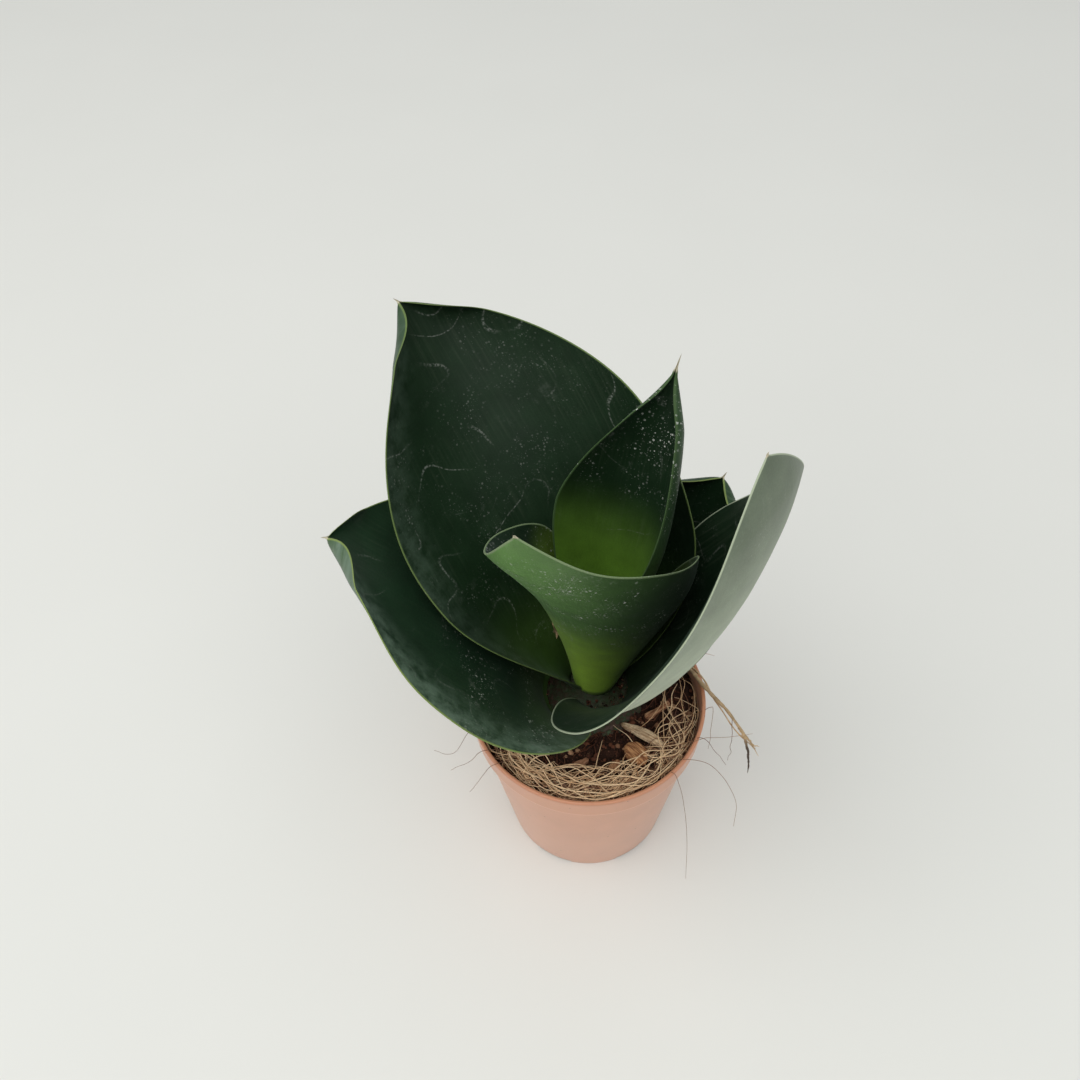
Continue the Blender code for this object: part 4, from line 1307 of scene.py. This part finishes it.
@dataclass(frozen=True)
class BarkChip:
    """A split bark chip: where it points, its size, and its colours."""

    node: str
    size: Point
    turn: float
    pale: Colour
    dark: Colour
    seed: int

    STEPS = 40
    SIDES = 36

    def build(self) -> Piece:
        """Sections along the chip: a squared ellipse, shrunk at the ragged ends, ridged lengthwise.

        The squared ellipse takes cosine and sine to the power 0.6, with their signs kept.
        """
        low, high = (np.array(corner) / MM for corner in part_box(self.node))
        middle = (low + high) / 2
        t = np.linspace(-1, 1, self.STEPS)[:, None]
        angle = (np.arange(self.SIDES) * math.tau / self.SIDES)[None]
        length, width, thickness = (value / 2 for value in self.size)
        ragged = 1 - 0.10 * np.abs(lattice_noise(np.stack(np.broadcast_arrays(
            4 * np.cos(angle), 4 * np.sin(angle), 0 * t), -1), 1.0, self.seed))
        shrink = np.clip(1 - np.abs(t) ** 5, 0.02, 1) ** 0.5

        def squared(wave: Array) -> Array:
            return np.sign(wave) * np.abs(wave) ** 0.6

        y = width * shrink * squared(np.cos(angle)) * (0.85 + 0.25 * np.sin(2.1 * t + self.seed))
        z = thickness * shrink * squared(np.sin(angle)) + 0 * y
        x = length * t * ragged
        grain = np.stack([0.22 * x, 2.0 * y, 2.0 * z], -1)
        push = (1 + 0.30 * lattice_noise(grain, 1.0, self.seed)
                + 0.12 * lattice_noise(grain * 2.3, 1.0, self.seed))
        y, z = y * push + 0.25 * np.sin(1.7 * t + self.seed), z * push
        turn = math.radians(self.turn)
        points = np.stack([x * math.cos(turn) - y * math.sin(turn),
                           x * math.sin(turn) + y * math.cos(turn), z], -1) + middle
        faces = grid_faces(self.STEPS, self.SIDES, True)
        first = np.arange(self.SIDES)
        last = first + (self.STEPS - 1) * self.SIDES
        local = np.stack(np.broadcast_arrays(x, y, z), -1).reshape(-1, 3)
        return make_piece(self.node + "_split", points.reshape(-1, 3),
                          [faces, first[None, ::-1], last[None]], self.node, self.node,
                          attributes={"surface": local})

    def dress(self, piece: Piece, effects: Effects) -> None:
        """Dry wood: pale and dark fibres along the chip, with patches of peat dust."""
        skin = Surface(self.node, Gloss(specular=0.2))
        local = skin.vector("surface")
        turned_over = skin.add("ShaderNodeSeparateXYZ", None, Vector=local)
        swapped = skin.add("ShaderNodeCombineXYZ", None, X=turned_over.outputs[1],
                           Y=turned_over.outputs[0], Z=turned_over.outputs[2]).outputs[0]
        grain = skin.group(effects.grain, Vector=swapped, Across=3.0, Along=0.25).outputs[0]
        colour = skin.mix(skin.fade(grain, 0.35, 0.65), self.dark, self.pale)
        colour, patch = skin.mottle(effects, local, colour, 0.8, 0.5)
        dust = skin.fade(skin.noise(local, 1.4, 3.0), 0.55, 0.72)
        colour = skin.mix(skin.times(dust, 0.6), colour, (0.11, 0.05, 0.03))
        skin.wear(colour, 0.85, skin.plus(grain, patch), 0.2, piece)


STRAW, BROWN = (0.66, 0.50, 0.33), (0.22, 0.105, 0.055)
ORANGE, RUST = (0.52, 0.27, 0.12), (0.20, 0.075, 0.035)
CHIPS = (
    BarkChip("bark_chip_long", (12.5, 2.4, 1.5), -36.0, STRAW, (0.34, 0.20, 0.11), 51),
    BarkChip("bark_chip_front", (7.0, 4.2, 2.4), -48.0, ORANGE, RUST, 52),
    BarkChip("bark_chip_small", (3.6, 2.2, 1.6), 62.0, (0.46, 0.25, 0.13), RUST, 53),
    BarkChip("bark_chip_left", (4.0, 2.0, 1.4), 35.0, (0.34, 0.17, 0.10), BROWN, 54),
    BarkChip("bark_chip_right", (8.0, 2.6, 1.4), 32.0, (0.50, 0.27, 0.15), RUST, 55),
    BarkChip("bark_chip_rear", (7.0, 3.0, 1.6), 70.0, ORANGE, BROWN, 56),
)


@dataclass(frozen=True)
class DryRoot:
    """The dry root that leaves the soil at the right, crosses the rim and forks, with a thread."""

    MAIN = ((23.2, 14.0, 50.9), (25.4, 9.6, 52.4), (28.0, 4.0, 54.9), (30.2, -0.6, 55.4),
            (32.8, -3.9, 54.6), (35.4, -7.1, 52.9), (39.1, -11.4, 49.2), (41.6, -13.8, 47.2))
    FORK = ((37.6, -9.7, 50.5), (38.9, -11.6, 48.9), (39.6, -13.4, 46.2), (40.1, -15.0, 43.0),
            (39.8, -16.6, 39.6))
    THREAD = ((24.0, 13.0, 51.5), (26.6, 8.6, 53.6), (29.4, 2.9, 55.6), (31.6, -2.2, 54.6),
              (34.1, -6.4, 52.3), (37.4, -10.4, 49.4), (40.4, -12.6, 47.0), (42.4, -15.2, 46.0))
    WISP = ((40.0, -12.2, 48.6), (41.2, -13.2, 47.9), (42.6, -13.4, 47.6))

    def build(self) -> Piece:
        """Four strands that thin towards their ends, wrinkled by noise along their length."""
        steps, sides = 90, 12
        t = np.linspace(0, 1, steps)
        routes, radii, dark = [], [], []
        for index, (route, thick, thin, shade) in enumerate((
                (self.MAIN, 0.62, 0.30, 0.25), (self.FORK, 0.42, 0.22, 0.95),
                (self.THREAD, 0.26, 0.14, 0.1), (self.WISP, 0.2, 0.08, 0.05))):
            smooth = smooth_route(np.array(route), steps)
            wander = along_strand(t, 9, 7.0 * index)
            smooth = smooth + 0.22 * three_noises(wander, 60)
            wrinkle = (1 + 0.20 * lattice_noise(wander * 5, 1.0, 64)
                       + 0.12 * lattice_noise(wander * 2, 1.0, 65))
            routes.append(smooth)
            radii.append((thick + (thin - thick) * t) * wrinkle * (1 - 0.85 * t ** 14))
            dark.append(shade * eased((t - 0.1) / 0.4) if index == 1 else shade + 0 * t)
        points, faces = capped_tubes(np.array(routes), np.array(radii), sides)
        tint = np.repeat(np.array(dark).ravel(), sides)
        return make_piece("dry_root_strands", points, faces, "dry_root", "dry_root",
                          attributes={"tint": tint})

    def dress(self, pieces: tuple[Piece, ...], effects: Effects) -> None:
        """Straw with brown wrinkles, near black on the fork."""
        skin = Surface("dry_root", Gloss(specular=0.3, sheen=0.1))
        colour = skin.mix(skin.value("tint"), (0.62, 0.43, 0.24), (0.05, 0.035, 0.03))
        colour = skin.mottle(effects, skin.place(), colour, 0.7, 0.6)[0]
        colour, fine = skin.mottle(effects, skin.place(), colour, 3.0, 0.4)
        skin.wear(colour, 0.7, fine, 0.12, *pieces)


@dataclass(frozen=True)
class LooseHairs:
    """Fine dark hairs that stray over the rim, and a dry scrap between the back and left leaves."""

    HAIRS = (
        ((24.0, 13.0, 51.0), (30.0, 11.0, 55.0), (32.5, 11.5, 53.0), (35.0, 13.0, 50.0)),
        ((22.0, -14.0, 51.5), (26.5, -14.5, 54.6), (33.5, -11.5, 50.0), (42.0, -8.0, 44.0)),
        ((27.0, -6.0, 52.0), (30.5, -5.5, 54.8), (32.0, -4.5, 51.0), (30.9, -9.0, 47.5),
         (30.2, -11.5, 44.0)),
        ((20.0, -18.0, 51.0), (23.6, -20.0, 54.8), (28.0, -20.0, 52.0), (32.5, -22.5, 48.0),
         (35.0, -26.5, 44.0), (34.0, -31.0, 40.5)),
        ((17.0, -20.5, 51.0), (19.5, -23.9, 54.7), (22.0, -23.8, 44.0), (24.2, -24.5, 26.5),
         (25.0, -27.6, 12.0), (25.7, -28.0, 0.5)),
        ((-19.0, -15.5, 51.0), (-24.0, -18.6, 54.6), (-28.0, -19.5, 49.0), (-31.0, -20.5, 44.0)),
        ((-21.0, -13.0, 51.0), (-26.5, -14.8, 54.7), (-31.0, -15.2, 50.0), (-36.0, -13.5, 43.0)),
        ((-25.0, -8.0, 51.5), (-29.5, -8.5, 54.8), (-35.0, -10.5, 46.0), (-40.5, -6.0, 40.5)),
        ((24.0, -13.0, 51.0), (27.6, -14.2, 54.6), (31.5, -16.0, 49.0), (34.0, -16.5, 44.5)),
        ((36.2, -8.0, 52.0), (35.6, -11.0, 49.5), (35.2, -14.0, 47.0), (34.4, -15.5, 45.0)),
    )
    HAIR_RADIUS = 0.085
    SCRAP = ((-7.9, 11.0, 63.5), (-7.4, 12.0, 65.5), (-7.6, 13.0, 68.0), (-6.9, 13.4, 70.0))

    def hairs(self) -> Piece:
        """Each hair is a smooth route, thinner at its far end."""
        steps, sides = 48, 5
        t = np.linspace(0, 1, steps)
        routes = np.array([smooth_route(np.array(route), steps) for route in self.HAIRS])
        routes += 0.25 * three_noises(along_strand(t, 7, np.arange(len(routes))[:, None] * 5.0), 70)
        radii = np.broadcast_to(self.HAIR_RADIUS * (1 - 0.5 * t), routes.shape[:2])
        points, faces = capped_tubes(routes, radii, sides)
        tint = np.repeat(np.linspace(0.25, 0.0, len(routes)), steps * sides)
        return make_piece("stray_hairs", points, faces, "coir_mat", attributes={"tint": tint})

    def scrap(self) -> Piece:
        """A curled strip of dry leaf sheath: a flat tube that narrows to both ends."""
        steps, sides = 30, 14
        t = np.linspace(0, 1, steps)
        routes = np.array([smooth_route(np.array(self.SCRAP), steps)])
        radii = (0.25 + 0.55 * np.sin(math.pi * t) ** 0.7)[None] * (1 + 0.25 * np.sin(9 * t))
        points, faces = capped_tubes(routes, radii, sides, flat=0.22)
        tint = np.repeat(0.25 + 0.4 * t, sides)
        return make_piece("dry_scrap", points, faces, "dry_root", attributes={"tint": tint})


# ---------------------------------------------------------------- stage


class Stage:
    """The plain floor, the soft light and the camera."""

    FLOOR_SIZE = 8.0
    CAMERA_PLACE = (-10.223, -135.144, 274.944)
    CAMERA_PITCH = 49.6
    CAMERA_ROLL = -2.8
    CAMERA_LENS = 33.333
    SENSOR = 36.0

    def floor(self) -> None:
        """A wide pale floor under the pot."""
        half = self.FLOOR_SIZE / 2
        mesh = bpy.data.meshes.new("floor")
        mesh.from_pydata([(-half, -half, 0), (half, -half, 0), (half, half, 0), (-half, half, 0)],
                         [], [(0, 1, 2, 3)])
        floor = bpy.data.objects.new("floor", mesh)
        bpy.context.scene.collection.objects.link(floor)
        paint = Surface("floor", Gloss(specular=0.3))
        field = paint.noise(paint.place(), 0.01, 2.0)
        colour = paint.mix(field, (0.74, 0.735, 0.70), (0.77, 0.765, 0.73))
        paint.wear(colour, 0.55, field, 0.0, floor)

    def light(self, name: str, place: Point, target: Point, size: float, power: float,
              colour: Colour) -> None:
        """A square soft light that faces a target; places are in metres, power in watts."""
        data = bpy.data.lights.new(name, "AREA")
        data.size, data.energy, data.color = size, power, colour
        lamp = bpy.data.objects.new(name, data)
        lamp.location = place
        ahead = np.subtract(target, place)
        yaw = math.atan2(ahead[1], ahead[0]) - math.pi / 2
        pitch = math.atan2(math.hypot(ahead[0], ahead[1]), -ahead[2])
        lamp.rotation_euler = (pitch, 0.0, yaw)
        bpy.context.scene.collection.objects.link(lamp)

    def lights(self) -> None:
        """A broad key from the left, a weak fill, and a sky that is bright overhead."""
        self.light("key", (-0.75, -0.35, 1.25), (0, 0, 0.05), 1.5, 11.0, (1.0, 0.995, 0.975))
        self.light("fill", (0.5, -0.9, 1.6), (0, 0, 0.05), 1.6, 8.5, (0.98, 1.0, 1.0))
        world = bpy.data.worlds.new("sky")
        world.use_nodes = True
        sky = Graph(world.node_tree)
        toward = sky.add("ShaderNodeTexCoord").outputs["Generated"]
        height = sky.add("ShaderNodeSeparateXYZ", None, Vector=toward).outputs[2]
        colour = sky.mix(sky.fade(height, 0.2, 0.95), (0.20, 0.20, 0.20), (0.94, 0.97, 0.97))
        background = world.node_tree.nodes["Background"]
        sky.put(background.inputs["Color"], colour)
        background.inputs["Strength"].default_value = 0.85
        bpy.context.scene.world = world

    def camera(self) -> None:
        """Look along +Y and down at the pitch, rolled a little about the line of sight."""
        data = bpy.data.cameras.new("camera")
        data.lens, data.sensor_width = self.CAMERA_LENS, self.SENSOR
        data.clip_start, data.clip_end = 0.01, 100.0
        camera = bpy.data.objects.new("camera", data)
        tilt = Matrix.Rotation(math.radians(90.0 - self.CAMERA_PITCH), 4, "X")
        roll = Matrix.Rotation(math.radians(self.CAMERA_ROLL), 4, "Z")
        place = Matrix.Translation([value * MM for value in self.CAMERA_PLACE])
        camera.matrix_world = place @ tilt @ roll
        bpy.context.scene.collection.objects.link(camera)
        bpy.context.scene.camera = camera

    def build(self) -> None:
        """Set up the whole stage."""
        bpy.context.scene.view_settings.view_transform = "Standard"
        self.floor()
        self.lights()
        self.camera()


def main() -> None:
    """Build and dress every piece, then the stage."""
    Stage().build()
    effects = Effects()
    for leaf in LEAVES:
        leaf.dress(leaf.build(), effects)
    pot, soil, stem, coir, root, hairs = Pot(), Soil(), Stem(), Coir(), DryRoot(), LooseHairs()
    pot.dress(pot.build(), effects)
    soil.dress(soil.build(), soil.loose(), soil.fibres(), effects)
    stem.dress(stem.build(), effects)
    coir.dress((coir.mat(soil), coir.loops(), hairs.hairs()), effects)
    for chip in CHIPS:
        chip.dress(chip.build(), effects)
    root.dress((root.build(), hairs.scrap()), effects)


if __name__ == "__main__":
    main()
